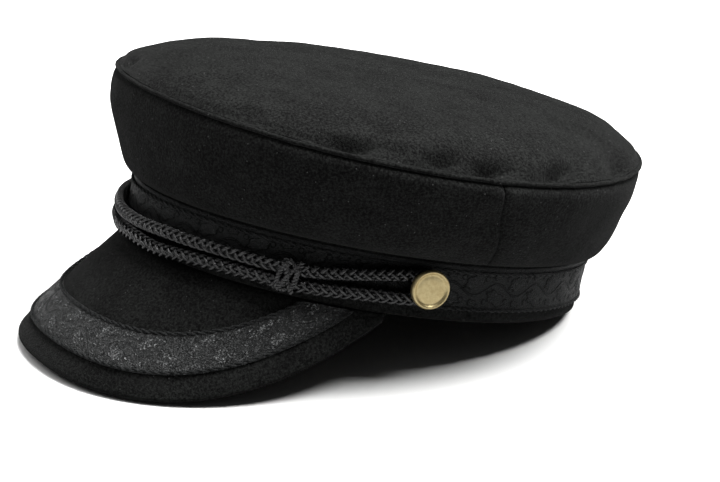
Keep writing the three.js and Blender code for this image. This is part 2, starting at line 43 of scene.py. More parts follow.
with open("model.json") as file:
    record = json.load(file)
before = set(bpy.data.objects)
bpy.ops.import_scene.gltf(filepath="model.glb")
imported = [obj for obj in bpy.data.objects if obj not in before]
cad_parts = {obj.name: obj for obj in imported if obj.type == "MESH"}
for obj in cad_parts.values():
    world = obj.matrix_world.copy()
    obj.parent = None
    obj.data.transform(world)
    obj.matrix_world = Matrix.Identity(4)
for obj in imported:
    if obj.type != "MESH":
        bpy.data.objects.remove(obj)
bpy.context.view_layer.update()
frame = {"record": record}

MM = 0.001
FULL_TURN = 2 * math.pi
UPWARD = np.array([0.0, 0.0, 1.0])
SIDES = ((1, "left"), (-1, "right"))

# Fineness. Pairs are points round the cap and across the piece. The peak's are round it,
# down its top, over its edge and back along its underside.
TOP_POINTS = (480, 84)
SIDE_POINTS = (330, 62)
WELT_POINTS = 720
BAND_POINTS = 360
BAND_RIBBON_POINTS = (1250, 42)
PEAK_POINTS = (260, 14, 9, 10)
PEAK_RIBBON_POINTS = (720, 52)
BUTTON_POINTS = (96, 90)
BRAID_SAMPLES = 1100
KNOT_SAMPLES = 560
BAND_ROPE_SAMPLES = 1100
PEAK_ROPE_SAMPLES = 560
ROPE_SIDES = 6
BRAID_SIDES = 7
# Points of the lines that the cords follow and along which lengths are measured
CORD_TABLE_POINTS = 400
STRAND_POINTS = 321
CORD_END_POINTS = 15
KNOT_LINE_POINTS = 480
BAND_LINE_POINTS = 4001
BAND_ROPE_POINTS = 1200
PEAK_LINE_POINTS = 6001

# Unevenness of the cloth: its height, the size of its hills and the seed of its noise
TOP_UNEVEN = [(0.5 * MM, 26 * MM, 3.1), (0.16 * MM, 7 * MM, 8.4)]
SIDE_UNEVEN = [(0.45 * MM, 22 * MM, 5.3), (0.14 * MM, 6 * MM, 1.9)]
WELT_PUCKER = (0.22 * MM, 5 * MM, 6.2)
WELT_WAVE = (0.25 * MM, 9 * MM, 2.2)

# Pockets at the welt: where they are deepest and how far they reach in, as shares of the
# seam's oval, and how much of their depth also draws the cloth inwards
POCKET_PLACE = 0.972
POCKET_REACH = 0.034
POCKET_DRAW = 0.5
# Groove of the side seams, in degrees: its spread, and the place and spread of the low
# ridges beside it, with their height as a share of the groove's depth
GROOVE_SPREAD = 0.5
RIDGE = (2.0, 1.0, 0.06)

# Ribbon pattern: a wavy stem, two leaves, each given by its distance from the middle, its
# tilt in radians, its half length and half width, then berries, beads and veins
STEM_SWING = 2.5 * MM
STEM_HALF = 0.45 * MM
LARGE_LEAF = (3.4 * MM, 0.45, 6.2 * MM, 3.1 * MM)
SMALL_LEAF = (5.7 * MM, 0.2, 3.4 * MM, 1.5 * MM)
BERRY_PLACES = (4.6 * MM, -4.9 * MM)
BERRY_RADIUS = 1.7 * MM
BEAD_STEPS = (1.9 * MM, 1.6 * MM)
VEIN_HALF = 0.32 * MM
VEIN_STEP = 1.3 * MM
PATTERN_FADE = (7.9 * MM, 7.2 * MM)

# The ribbon's weave sinks into its seat, and its two edges turn down
RIBBON_SINK = 0.2 * MM
RIBBON_EDGE_WIDTH = 0.8 * MM
RIBBON_EDGE_DROP = 0.4 * MM
# The crown's fold leaves less of the band's upper rope edge to be seen, so it lies lower
UPPER_ROPE_DROP = 1.7 * MM
ROPE_TWIST = 0.45 * MM

# Steps over which a direction on the peak is measured
PEAK_STEP = 0.5 * MM
TURN_STEP = math.radians(0.5)
# Puts the top of the curve part - part ** 3 at one
BULGE_PEAK = 2.6

# Sliding knot: a three-ply cord plaited round both strands, as leads round and bights along
KNOT_CORD = 1.3 * MM
KNOT_LEADS = 4
KNOT_BIGHTS = 5

# Half width of the floor, in metres
FLOOR_HALF = 3.0

# Side panel, foot to seam: share of the height, and share of the way from the foot's oval
# out to the seam's
SIDE_ROWS = [
    (0, 0),
    (0.05, 0.24),
    (0.14, 0.42),
    (0.3, 0.63),
    (0.5, 0.82),
    (0.7, 0.98),
    (0.86, 1.07),
    (0.95, 1.08),
    (1, 1.01),
    (1.015, 0.96),
]

# Top panel, rim to middle: share of the seam's oval, and share of the puff's height
TOP_ROWS = [
    (1.0, -0.03),
    (0.9955, 0.02),
    (0.986, 0.12),
    (0.97, 0.28),
    (0.92, 0.51),
    (0.85, 0.69),
    (0.74, 0.86),
    (0.56, 0.96),
    (0.3, 1.0),
    (0.0, 1.0),
]

# Hollows: degrees round the cap from the front, their spread, the place along the panel,
# its spread, and the depth as a share of the dent depth. Below zero it is a bulge.
TOP_DENTS = [
    (53, 9, 0.93, 0.09, 0.95),
    (76, 9, 0.88, 0.1, -0.4),
    (86, 8, 0.95, 0.07, 0.9),
    (101, 9, 0.9, 0.1, -0.4),
    (113, 8, 0.93, 0.08, 0.8),
    (126, 8, 0.8, 0.12, 0.35),
    (150, 14, 0.93, 0.12, 0.15),
    (-165, 26, 0.9, 0.15, 0.25),
    (18, 14, 0.85, 0.15, 0.3),
    (-42, 12, 0.92, 0.1, 0.6),
    (-78, 10, 0.93, 0.09, 0.7),
    (-96, 9, 0.9, 0.1, -0.35),
    (-128, 12, 0.93, 0.09, 0.6),
]

SIDE_DENTS = [
    (86, 5, 0.62, 0.2, 0.6),
    (93, 5, 0.35, 0.25, -0.3),
    (62, 16, 0.45, 0.3, 0.3),
    (28, 14, 0.5, 0.3, -0.25),
    (118, 12, 0.6, 0.25, 0.35),
    (142, 12, 0.4, 0.25, 0.1),
    (152, 18, 0.22, 0.25, -0.45),
    (152, 16, 0.68, 0.2, -0.3),
    (172, 14, 0.5, 0.3, -0.3),
    (-24, 10, 0.35, 0.3, 0.1),
    (-20, 18, 0.75, 0.35, -0.55),
    (-60, 14, 0.5, 0.3, 0.3),
    (-92, 6, 0.6, 0.22, 0.5),
    (-130, 14, 0.5, 0.3, 0.4),
]

# Short pockets where the top cloth is drawn down to the welt: degrees round the cap at the
# welt, their spread, the depth as a share of the pocket depth, and the degrees by which
# they run on round the cap over a tenth of the way in
SEAM_POCKETS = [
    (52, 5.5, 1.0, 6),
    (71, 4, 0.8, 6),
    (81, 4.5, 1.0, 8),
    (98, 5, 1.0, 12),
    (31, 3.5, 0.35, 0),
    (64, 3, 0.35, 0),
    (90, 3, 0.3, 0),
    (122, 5, 0.6, 8),
    (160, 5, 0.5, 0),
    (-18, 4, 0.5, 0),
    (-47, 5, 0.8, -8),
    (-80, 5, 0.9, -8),
    (-112, 5, 0.7, 0),
    (-146, 5, 0.6, 0),
]

# Chin cord, front to button: share of the button's angle, share of the buttons' height,
# and how far the strands stand apart
CORD_ROWS = [
    (0, 0.49, 0.08),
    (0.125, 0.49, 0.08),
    (0.25, 0.55, 0.08),
    (0.36, 0.6, 0.1),
    (0.46, 0.625, 0),
    (0.62, 0.64, 0),
    (0.7, 0.68, 0.16),
    (0.78, 0.76, 0.36),
    (0.86, 0.85, 0.62),
    (0.94, 0.93, 0.92),
    (1, 1, 1),
]


def length(name, description, millimetres):
    """A length property that is given in millimetres and kept in metres."""
    return bpy.props.FloatProperty(
        name=name, description=description, default=millimetres * MM, min=0, unit="LENGTH",
        precision=5)


def turn(name, description, degrees):
    return bpy.props.FloatProperty(
        name=name, description=description, default=math.radians(degrees), subtype="ANGLE")


def share(name, description, value):
    return bpy.props.FloatProperty(name=name, description=description, default=value)


def linear(colour):
    """sRGB hex to the linear values that Blender's colours hold."""
    parts = [int(colour[i:i + 2], 16) / 255 for i in (0, 2, 4)]
    return tuple(p / 12.92 if p <= 0.04045 else ((p + 0.055) / 1.055) ** 2.4 for p in parts)


def paint(name, description, colour):
    return bpy.props.FloatVectorProperty(
        name=name, description=description, default=linear(colour), min=0, max=1,
        size=3, subtype="COLOR")


class BandSizes(bpy.types.PropertyGroup):
    seat_gap: length("Seat gap", "Clearance between two pieces that touch", 0.3)
    long: length("Length", "Outside length of the head band", 202)
    wide: length("Width", "Outside width of the head band", 173.6)
    wall: length("Wall", "Thickness of the head band", 2.4)
    edge: length("Edge", "Rounding of the head band's folded edges", 0.8)


class RibbonSizes(bpy.types.PropertyGroup):
    wide: length("Width", "Width of the woven ribbon", 18.6)
    thick: length("Thickness", "Thickness of the woven ribbon", 0.6)
    hem: length("Hem", "Bare cloth below the ribbon on the band", 4.8)
    headroom: length("Headroom", "Bare cloth above the ribbon on the band", 1.3)
    relief: length("Relief", "Height of the leaf pattern over the ground weave", 0.42)
    repeat: length("Repeat", "Length of one repeat of the leaf pattern", 23)
    rope_ply: length("Rope ply", "Radius of one ply of the rope edges", 0.42)
    rope_lead: length("Rope lead", "Length in which a ply of the rope edges goes round once", 7.6)
    rope_inset: length("Rope inset", "Distance of the rope edges from the ribbon's edge", 0.8)


class CrownSizes(bpy.types.PropertyGroup):
    cloth: length("Cloth", "Thickness of the cloth wall", 2)
    side_spread: length("Side spread", "Seam outside the band at the sides", 29.2)
    end_spread: length("End spread", "Seam outside the band in front and behind", 9)
    forward: length("Forward", "Distance by which the seam's oval lies in front", 3.3)
    side_height: length("Side height", "Height of the side panels", 40.4)
    back_rise: length("Back rise", "Rise of the seam at the back", 3.3)
    end_rise: length("End rise", "Rise of the seam at both ends", 1.8)
    overhang: length("Overhang", "Reach of the panel's foot over the band", 2.4)
    overhang_drop: length("Overhang drop", "Drop of the panel's foot below the band's top", 1.3)
    puff: length("Puff", "Rise of the top panel over the seam", 14)
    dent: length("Dent depth", "Depth of a hollow whose share is one", 4)
    pocket: length("Pocket depth", "Depth of a pocket at the welt whose share is one", 6)
    welt: length("Welt", "Diameter of the welt in the top seam", 1.8)
    welt_out: length("Welt reach", "Distance of the welt outside the seam", 0.65)
    seam_groove: length("Seam groove", "Depth to which the side seams draw the cloth in", 0.9)
    seam_turn: turn("Side seam top", "Angle of the side seams from the front, at the welt", 86)
    seam_foot: turn("Side seam foot", "Angle of the side seams from the front, at the band", 93)


class PeakSizes(bpy.types.PropertyGroup):
    long: length("Length", "Length of the peak in front", 63.2)
    thick: length("Thickness", "Thickness of the peak", 3)
    drop: turn("Drop", "Slope of the peak in front", 55)
    corner_drop: turn("Corner drop", "Slope of the peak at its corners", 61)
    span: turn("Span", "Angle from the front to a corner", 74.5)
    trim_inset: length("Trim inset", "Distance of the ribbon from the peak's edge", 10.2)
    join_turn: turn("Ribbon join", "Angle at which the ribbon's ends meet on the peak", -14)
    power: share("Outline power", "Squareness of the peak's outline", 3.25)
    fullness: share("Outline fullness", "How fast the outline falls off to the corners", 1.15)
    forward_share: share("Forward share", "How far the rulings turn straight ahead", 0.42)
    last_share: share("Last share", "Share of the span that the peak fills", 0.975)
    bend_turn: turn("Bend place", "Angle at which the worn peak is bent up", -28)
    bend_spread: turn("Bend spread", "Spread of the bend round the peak", 20)
    bend_drop: turn("Bend", "Slope that the bend takes off the peak", 2)
    bend_length: length("Bend length", "Length that the bend adds to the peak", 1.2)
    bulge: length("Bulge", "Rise of the peak's middle over a straight slope", 3.2)
    bulge_start: length("Bulge start", "Distance from the band at which the bulge starts", 7)
    bulge_edge: turn("Bulge edge", "Angle at which the bulge has run out", -45)


class CordSizes(bpy.types.PropertyGroup):
    wide: length("Diameter", "Diameter of the chin cord", 5.6)
    lead: length("Lead", "Length in which a strand of the braid goes round once", 15)
    yarn: length("Yarn radius", "Radius of one yarn of the braid", 0.78)
    weave: length("Weave depth", "Rise and fall of a strand over its neighbours", 0.6)
    fullness: length("Fullness", "Reach of the yarns past the cord's measured radius", 0.3)
    knot_turn: turn("Knot angle", "Angle of the sliding knots from the front", 49.3)
    knot_wide: length("Knot width", "Width of a sliding knot along the cord", 6.7)
    knot_wall: length("Knot wall", "Thickness of a sliding knot round the cords", 1.2)
    knot_clearance: length("Knot clearance", "Clearance of the cords in the knot", 0.4)
    knot_lift: turn("Knot lift", "Spread of the cord's lift at a knot", 9.9)
    parting_turn: turn("Parting place", "Angle at which the strands stand apart in front", 13)
    parting_spread: turn("Parting spread", "Spread of that parting", 9)
    parting: share("Parting", "How far they stand apart there, one as at the buttons", 0.4)


class ButtonSizes(bpy.types.PropertyGroup):
    turn: turn("Angle", "Angle of the buttons from the front", 80)
    wide: length("Diameter", "Diameter of the button", 16.1)
    thick: length("Thickness", "Thickness of the button's head", 2.6)
    rim: length("Rim", "Width of the raised rim", 1.7)
    bevel: length("Bevel", "Width of the rounded edge", 0.65)
    shank: length("Shank", "Diameter of the shank", 3.6)


class CapColours(bpy.types.PropertyGroup):
    wool: paint("Wool", "Ground colour of the wool cloth", "0b0b0b")
    wool_light: paint("Wool fibres", "Colour of the lighter fibres in the wool", "262726")
    ribbon: paint("Ribbon", "Colour of the woven ribbon's ground", "080909")
    # The ribbon's lighter yarn tone, and also the colour of its painted glints: single yarns
    # painted bright in the base colour
    ribbon_light_and_glint_paint: paint("Ribbon yarn", "Colour of the ribbon's brightest yarns", "9c9e9e")
    cord: paint("Cord", "Colour of the braided cord", "060607")
    brass: paint("Brass", "Colour of the buttons' brass", "c8b88b")
    tarnish: paint("Tarnish", "Colour of the brass where it has dulled", "ac9465")
    lint: paint("Lint", "Colour of the pale lint on the wool", "4c4c4c")
    floor: paint("Floor", "Colour of the floor", "f6f6f5")


class StageSettings(bpy.types.PropertyGroup):
    azimuth: turn("Azimuth", "Turn of the camera from the front to the wearer's left", 62)
    elevation: turn("Elevation", "Height of the camera over the ground, as an angle", 17.73)
    distance: length("Distance", "Distance of the camera from its target", 1042)
    lens: share("Lens", "Focal length in millimetres on a 36 mm sensor", 123.25)
    aside: length("Aside", "Shift of the camera to its right", 3.0)
    lower: length("Lower", "Shift of the camera downwards", 48.2)
    target: length("Target height", "Height of the camera's target over the band's edge", 60)
    sky: share("Sky", "Strength of the even light from all sides", 0.05)
    lamp: share("Lamp", "Strength of the soft light overhead", 9)
    softness: turn("Softness", "Angle that the soft light overhead fills", 46)
    lean_near: turn("Lean near", "Lean of the soft light towards the camera", -3)
    lean_right: turn("Lean right", "Lean of the soft light to the camera's right", 22)
    fill: share("Fill", "Strength of the weak light from the front left", 0.9)
    fill_height: turn("Fill height", "Height of that light over the ground", 60)
    fill_aside: turn("Fill aside", "Its turn from the camera to the camera's left", 72)
    bounce: share("Bounce", "Share of the light that the floor throws back at the cap", 0.36)


class CapSettings(bpy.types.PropertyGroup):
    band: bpy.props.PointerProperty(type=BandSizes)
    ribbon: bpy.props.PointerProperty(type=RibbonSizes)
    crown: bpy.props.PointerProperty(type=CrownSizes)
    peak: bpy.props.PointerProperty(type=PeakSizes)
    cord: bpy.props.PointerProperty(type=CordSizes)
    button: bpy.props.PointerProperty(type=ButtonSizes)
    colours: bpy.props.PointerProperty(type=CapColours)
    stage: bpy.props.PointerProperty(type=StageSettings)


def unit(vectors):
    return vectors / np.linalg.norm(vectors, axis=-1, keepdims=True)


def bell(distance):
    """Bell curve that is one at zero and falls away on both sides."""
    return np.exp(-distance * distance)


def ease(low, high, value):
    """Smooth step from zero at low to one at high."""
    part = np.clip((value - low) / (high - low), 0, 1)
    return part * part * (3 - 2 * part)


def smooth_rows(rows, count):
    """Points spaced evenly along a smooth line through the rows of a table."""
    rows = np.array(rows, float)
    padded = np.vstack([2 * rows[0] - rows[1], rows, 2 * rows[-1] - rows[-2]])
    fine = []
    for before, start, end, after in zip(padded, padded[1:], padded[2:], padded[3:]):
        part = np.linspace(0, 1, 40, endpoint=False)[:, None]
        fine.append(0.5 * (2 * start + (end - before) * part
                           + (2 * before - 5 * start + 4 * end - after) * part ** 2
                           + (3 * start - before - 3 * end + after) * part ** 3))
    fine = np.vstack([*fine, rows[-1]])
    run = np.append(0, np.cumsum(np.linalg.norm(np.diff(fine, axis=0), axis=1)))
    even = np.linspace(0, run[-1], count)
    return [np.interp(even, run, column) for column in fine.T]


def evenly_spaced(line, angles, count, closed):
    """Angles at equal steps of length along a line that is given at fine angles."""
    run = np.append(0, np.cumsum(np.linalg.norm(np.diff(line, axis=0), axis=1)))
    even = np.linspace(0, run[-1], count, endpoint=not closed)
    return np.interp(even, run, angles), even, run[-1]


class CapShape:
    """Surfaces of the cap in its level frame, in metres, from the settings."""

    def __init__(self, cap):
        self.cap = cap
        self.half_wide = cap.band.wide / 2
        self.half_long = cap.band.long / 2
        self.ribbon_top = cap.ribbon.hem + cap.ribbon.wide
        self.band_height = self.ribbon_top + cap.ribbon.headroom + cap.crown.overhang_drop
        self.ribbon_face = cap.band.seat_gap + cap.ribbon.thick
        self.seam_middle = self.band_height + cap.crown.side_height
        self.welt_slit = cap.crown.welt + 2 * cap.band.seat_gap
        self.button_height = cap.ribbon.hem + cap.ribbon.wide / 2
        self.cord_radius = cap.cord.wide / 2
        self.strands_closed = cap.cord.wide + cap.band.seat_gap
        self.strands_open = cap.cord.wide + cap.button.shank + 2 * cap.band.seat_gap

    def oval(self, half_wide, half_long, angle, height, forward=0.0):
        x = half_wide * np.sin(angle)
        y = -half_long * np.cos(angle) - forward
        return np.stack(np.broadcast_arrays(x, y, height), axis=-1)

    def band_point(self, angle, outside, height):
        return self.oval(self.half_wide + outside, self.half_long + outside, angle, height)

    def band_normal(self, angle):
        x = np.sin(angle) / self.half_wide
        y = -np.cos(angle) / self.half_long
        return unit(np.stack(np.broadcast_arrays(x, y, 0.0), axis=-1))

    def band_directions(self, angle):
        """Directions at a place on the band: along it and away from it."""
        outward = self.band_normal(angle)
        return np.cross(UPWARD, outward), outward

    def crown_point(self, angle, out, height):
        wide = out * (self.half_wide + self.cap.crown.side_spread)
        long = out * (self.half_long + self.cap.crown.end_spread)
        return self.oval(wide, long, angle, height, self.cap.crown.forward)

    def seam_height(self, angle, out=1.0):
        crown = self.cap.crown
        back = -crown.back_rise * out * np.cos(angle)
        return self.seam_middle + back + crown.end_rise * out * out * np.cos(2 * angle)

    def turn_from(self, angle, degrees):
        """Degrees from a place round the cap, the short way."""
        return (np.degrees(angle) - degrees + 180) % 360 - 180

    def hollow(self, table, angle, place):
        return sum(depth * bell(self.turn_from(angle, at) / spread) * bell((place - row) / width)
                   for at, spread, row, width, depth in table)

    def top_point(self, angle, out, rise):
        """Outer face of the top panel, with its hollows and its pockets at the welt."""
        crown = self.cap.crown
        lift = np.clip(rise, 0, 1)
        hollow = lift * crown.dent * self.hollow(TOP_DENTS, angle, out)
        height = self.seam_height(angle, out) + self.welt_slit / 2 + rise * crown.puff - hollow
        inward = (1 - out) / 0.1
        pocket = crown.pocket * sum(
            depth * bell((self.turn_from(angle, at) - run_on * inward) / spread)
            for at, spread, depth, run_on in SEAM_POCKETS)
        near_welt = bell((out - POCKET_PLACE) / POCKET_REACH) * ease(1.0, 0.99, out)
        height = height - pocket * near_welt
        reach = out - POCKET_DRAW * pocket * near_welt / self.half_long
        return self.crown_point(angle, reach, height)

    def side_seam(self, rise):
        """Angle of the side seam at a share of the panels' height."""
        crown = self.cap.crown
        return crown.seam_foot + (crown.seam_turn - crown.seam_foot) * np.clip(rise, 0, 1)

    def side_point(self, angle, rise, reach):
        """Outer face of the side panels, drawn in at the two side seams."""
        crown = self.cap.crown
        foot = self.band_point(angle, crown.overhang, self.band_height - crown.overhang_drop)
        seam = self.crown_point(angle, 1.0, self.seam_height(angle) - self.welt_slit / 2)
        height = foot[..., 2] + rise * (seam[..., 2] - foot[..., 2])
        point = foot + np.asarray(reach)[..., None] * (seam - foot)
        point[..., 2] = height
        lift = np.clip(4 * rise * (1 - rise), 0, 1)
        depth = crown.dent * lift * self.hollow(SIDE_DENTS, angle, rise)
        ridge_place, ridge_spread, ridge_share = RIDGE
        for side, _ in SIDES:
            away = self.turn_from(angle, side * np.degrees(self.side_seam(rise)))
            depth = depth + crown.seam_groove * bell(away / GROOVE_SPREAD) * ease(0, 0.1, rise)
            ridge = bell((np.abs(away) - ridge_place) / ridge_spread)
            depth = depth - ridge_share * crown.seam_groove * ridge
        return point - depth[..., None] * self.band_normal(angle)

    def peak_share(self, angle):
        return np.abs(angle) / self.cap.peak.span

    def peak_bend(self, angle):
        """How much of the worn peak's bend is felt at an angle, at most one."""
        peak = self.cap.peak
        return bell((angle - peak.bend_turn) / peak.bend_spread)

    def peak_length(self, angle):
        peak = self.cap.peak
        left = np.maximum(1 - self.peak_share(angle) ** peak.power, 0)
        return (peak.long + peak.bend_length * self.peak_bend(angle)) * left ** peak.fullness

    def peak_drop(self, angle):
        peak = self.cap.peak
        drop = peak.drop + (peak.corner_drop - peak.drop) * self.peak_share(angle) ** 2
        return drop - peak.bend_drop * self.peak_bend(angle)

    def peak_ruling(self, angle):
        peak = self.cap.peak
        drop = self.peak_drop(angle)
        ahead = np.array([0.0, -1.0, 0.0])
        level = unit(self.band_normal(angle) * (1 - peak.forward_share)
                     + ahead * peak.forward_share)
        ruling = level * np.cos(drop)[..., None]
        ruling[..., 2] = -np.sin(drop)
        return ruling

    def peak_bulge(self, angle, distance):
        peak = self.cap.peak
        whole = np.maximum(self.peak_length(angle) - peak.bulge_start, MM)
        part = np.clip((distance - peak.bulge_start) / whole, 0, 1)
        share_here = whole / peak.long * ease(peak.bulge_edge, 0, angle)
        return peak.bulge * share_here * BULGE_PEAK * (part - part ** 3)

    def peak_point(self, angle, distance):
        distance = np.asarray(distance)
        start = self.band_point(angle, 0.0, -self.cap.band.seat_gap)
        ruling = self.peak_ruling(angle)
        level = unit(ruling * np.array([1.0, 1.0, 0.0]))
        drop = self.peak_drop(angle)
        above = level * np.sin(drop)[..., None]
        above[..., 2] = np.cos(drop)
        rise = self.peak_bulge(angle, distance)
        return start + distance[..., None] * ruling + rise[..., None] * above

    def peak_down(self, angle, distance):
        """Direction down the peak's curved slope."""
        after = self.peak_point(angle, distance + PEAK_STEP)
        return unit(after - self.peak_point(angle, distance - PEAK_STEP))

    def peak_normal(self, angle, distance):
        after = self.peak_point(angle + TURN_STEP, distance)
        along = after - self.peak_point(angle - TURN_STEP, distance)
        return unit(np.cross(self.peak_down(angle, distance), along))

    def peak_slant(self, angle):
        """Sine of the angle between the ruling and the peak's edge."""
        later, earlier = angle + TURN_STEP, angle - TURN_STEP
        after = self.peak_point(later, self.peak_length(later))
        along = unit(after - self.peak_point(earlier, self.peak_length(earlier)))
        return np.linalg.norm(np.cross(self.peak_ruling(angle), along), axis=-1)

    def cord_outside(self, angle):
        cord = self.cap.cord
        away = (np.abs(angle) - cord.knot_turn) / cord.knot_lift
        lift = (cord.knot_wall + cord.knot_clearance) * bell(away)
        return self.ribbon_face + self.cap.band.seat_gap + self.cord_radius + lift

    def strand_heights(self, angle):
        """Heights of the upper and the lower strand of the chin cord."""
        place, middle, part = smooth_rows(CORD_ROWS, CORD_TABLE_POINTS)
        at = np.abs(angle) / self.cap.button.turn
        height = self.button_height * np.interp(at, place, middle)
        apart = self.strands_closed
        cord = self.cap.cord
        parting = cord.parting * bell((angle - cord.parting_turn) / cord.parting_spread)
        apart = apart + (self.strands_open - apart) * (np.interp(at, place, part) + parting)
        return height + apart / 2, height - apart / 2

    def cord_line(self):
        """Middle line of the chin cord, a closed loop round both buttons' shanks."""
        end = self.cap.button.turn
        angles = np.linspace(-end, end, STRAND_POINTS)
        upper, lower = self.strand_heights(angles)
        over = self.band_point(angles, self.cord_outside(angles), upper)
        under = self.band_point(angles, self.cord_outside(angles), lower)
        radius = self.strands_open / 2
        bend = np.linspace(math.pi / 2, -math.pi / 2, CORD_END_POINTS)[1:-1]
        ends = []
        for side, _ in SIDES:
            rate = math.hypot(self.half_wide * math.cos(end), self.half_long * math.sin(end))
            at = side * (end + radius * np.cos(bend) / rate)
            height = self.button_height + radius * np.sin(bend)
            ends.append(self.band_point(at, self.cord_outside(at), height))
        return np.vstack([over, ends[0], under[::-1], ends[1][::-1]])


def standing_place():
    """Matrix from the level frame to the frame in which the cap leans on the ground."""
    mount = frame["record"]["mounts"][0]
    cap = bpy.context.scene.cap
    up = -Vector(mount["axis"])
    across = Vector((1, 0, 0))
    back = up.cross(across)
    inside = cap.band.long / 2 - cap.band.wall / 2
    origin = Vector(mount["pos_m"]) - back * inside
    return Matrix((across, back, up)).transposed().to_4x4(), origin


def to_frame(points):
    turning, origin = standing_place()
    turned = np.asarray(points, float).reshape(-1, 3) @ np.array(turning.to_3x3()).T
    return turned + np.array(origin)


def grid_faces(rows, columns, wraps_rows=False, wraps_columns=False):
    """Quads over a grid of points that is numbered row by row."""
    i, j = np.meshgrid(np.arange(rows if wraps_rows else rows - 1),
                       np.arange(columns if wraps_columns else columns - 1), indexing="ij")
    after_i = (i + 1) % rows
    after_j = (j + 1) % columns
    corners = [i * columns + j, i * columns + after_j, after_i * columns + after_j,
               after_i * columns + j]
    return np.stack(corners, axis=-1).reshape(-1, 4).tolist()


def add_piece(name, points, faces, material, edges=()):
    """A mesh piece from points in the level frame."""
    mesh = bpy.data.meshes.new(name)
    mesh.from_pydata(to_frame(points).tolist(), edges, faces)
    mesh.validate()
    piece = bpy.data.objects.new(name, mesh)
    bpy.context.scene.collection.objects.link(piece)
    if material is not None:
        mesh.materials.append(material)
        mesh.polygons.foreach_set("use_smooth", [True] * len(mesh.polygons))
    return piece


def add_relief(piece, relief):
    """Keeps the height of the pattern at each point of a ribbon's face, for its weave. The
    two rows on its back have none."""
    values = np.vstack([relief, relief[[-1, 0]] * 0]).astype(np.float32)
    attribute = piece.data.attributes.new("relief", "FLOAT", "POINT")
    attribute.data.foreach_set("value", values.ravel())


def end_faces(rows, columns):
    """The two faces that close a tube of rings, whose points are numbered row by row."""
    first = [i * columns for i in range(rows)]
    return [first, [i + columns - 1 for i in reversed(first)]]


def face_outward(piece):
    """Turns the faces of a closed or dished mesh to point outwards."""
    mesh = piece.data
    co = np.zeros(len(mesh.vertices) * 3)
    mesh.vertices.foreach_get("co", co)
    co = co.reshape(-1, 3)
    middle = co.mean(axis=0)
    mesh.calc_loop_triangles()
    corners = np.zeros(len(mesh.loop_triangles) * 3, int)
    mesh.loop_triangles.foreach_get("vertices", corners)
    a, b, c = (co[corners.reshape(-1, 3)[:, k]] - middle for k in range(3))
    if np.einsum("ij,ij->", a, np.cross(b, c)) < 0:
        mesh.flip_normals()


def finish_piece(piece, slot, *nodes):
    """Binds a piece to the part and hides the solids that it stands for. The finish that it is
    given is not used.
    """
    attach(piece, "root")
    if nodes:
        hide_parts(*nodes)


def thicken(piece, depth):
    """Gives an open sheet its cloth wall, inwards from the face that is modelled."""
    wall = piece.modifiers.new("wall", "SOLIDIFY")
    wall.thickness = depth
    wall.offset = -1
    bpy.context.view_layer.update()
    view = piece.evaluated_get(bpy.context.evaluated_depsgraph_get())
    walled = bpy.data.meshes.new_from_object(view)
    piece.modifiers.remove(wall)
    piece.data = walled
    walled.polygons.foreach_set("use_smooth", [True] * len(walled.polygons))


def add_node(tree, kind, inputs=None, **settings):
    """Adds a node, with its settings, and its inputs' values or links. A node given as an
    input is linked from its first output."""
    node = tree.nodes.new(kind)
    for name, value in settings.items():
        setattr(node, name, value)
    for key, value in (inputs or {}).items():
        socket = node.inputs[key]
        if isinstance(value, bpy.types.Node):
            value = value.outputs[0]
        if isinstance(value, bpy.types.NodeSocket):
            tree.links.new(value, socket)
        else:
            socket.default_value = value
    return node


def new_tree(name, sizes):
    """A Geometry Nodes tree with named size inputs and a material input."""
    tree = bpy.data.node_groups.new(name, "GeometryNodeTree")
    tree.interface.new_socket("Path", in_out="INPUT", socket_type="NodeSocketGeometry")
    for size, kind in sizes.items():
        tree.interface.new_socket(size, in_out="INPUT", socket_type=kind)
    tree.interface.new_socket("Material", in_out="INPUT", socket_type="NodeSocketMaterial")
    tree.interface.new_socket("Geometry", in_out="OUTPUT", socket_type="NodeSocketGeometry")
    source = tree.nodes.new("NodeGroupInput")
    return tree, source.outputs


def close_tree(tree, given, geometry):
    """Ends a tree: smooth faces, the material, and every instance made real."""
    smooth = add_node(tree, "GeometryNodeSetShadeSmooth", {"Geometry": geometry})
    real = add_node(tree, "GeometryNodeRealizeInstances", {"Geometry": smooth})
    coated = add_node(tree, "GeometryNodeSetMaterial",
                      {"Geometry": real, "Material": given["Material"]})
    add_node(tree, "NodeGroupOutput", {"Geometry": coated})


def run_tree(name, tree, points, closed, values, material):
    """Runs a tree on a line of points and returns its result as a plain mesh piece."""
    count = len(points)
    edges = [(i, (i + 1) % count) for i in range(count if closed else count - 1)]
    host = add_piece(name + "_path", points, [], None, edges)
    modifier = host.modifiers.new("strands", "NODES")
    modifier.node_group = tree
    values = {**values, "Material": material}
    for item in tree.interface.items_tree:
        if item.in_out == "INPUT" and item.name in values:
            modifier[item.identifier] = values[item.name]
    bpy.context.view_layer.update()
    view = host.evaluated_get(bpy.context.evaluated_depsgraph_get())
    mesh = bpy.data.meshes.new_from_object(view)
    if not mesh.polygons:
        raise RuntimeError(f"{tree.name} made nothing for {name}")
    mesh.name = name
    bpy.data.objects.remove(host)
    piece = bpy.data.objects.new(name, mesh)
    bpy.context.scene.collection.objects.link(piece)
    return piece


def turn_along(tree, lead):
    """Angle that grows along a curve by whole turns, about one to each lead."""
    long = add_node(tree, "GeometryNodeSplineLength")
    turns = add_node(tree, "ShaderNodeMath", {0: long, 1: lead}, operation="DIVIDE")
    whole = add_node(tree, "ShaderNodeMath", {0: turns}, operation="ROUND")
    part = add_node(tree, "GeometryNodeSplineParameter")
    done = add_node(tree, "ShaderNodeMath", {0: part, 1: whole}, operation="MULTIPLY")
    return add_node(tree, "ShaderNodeMath", {0: done, 1: FULL_TURN}, operation="MULTIPLY")


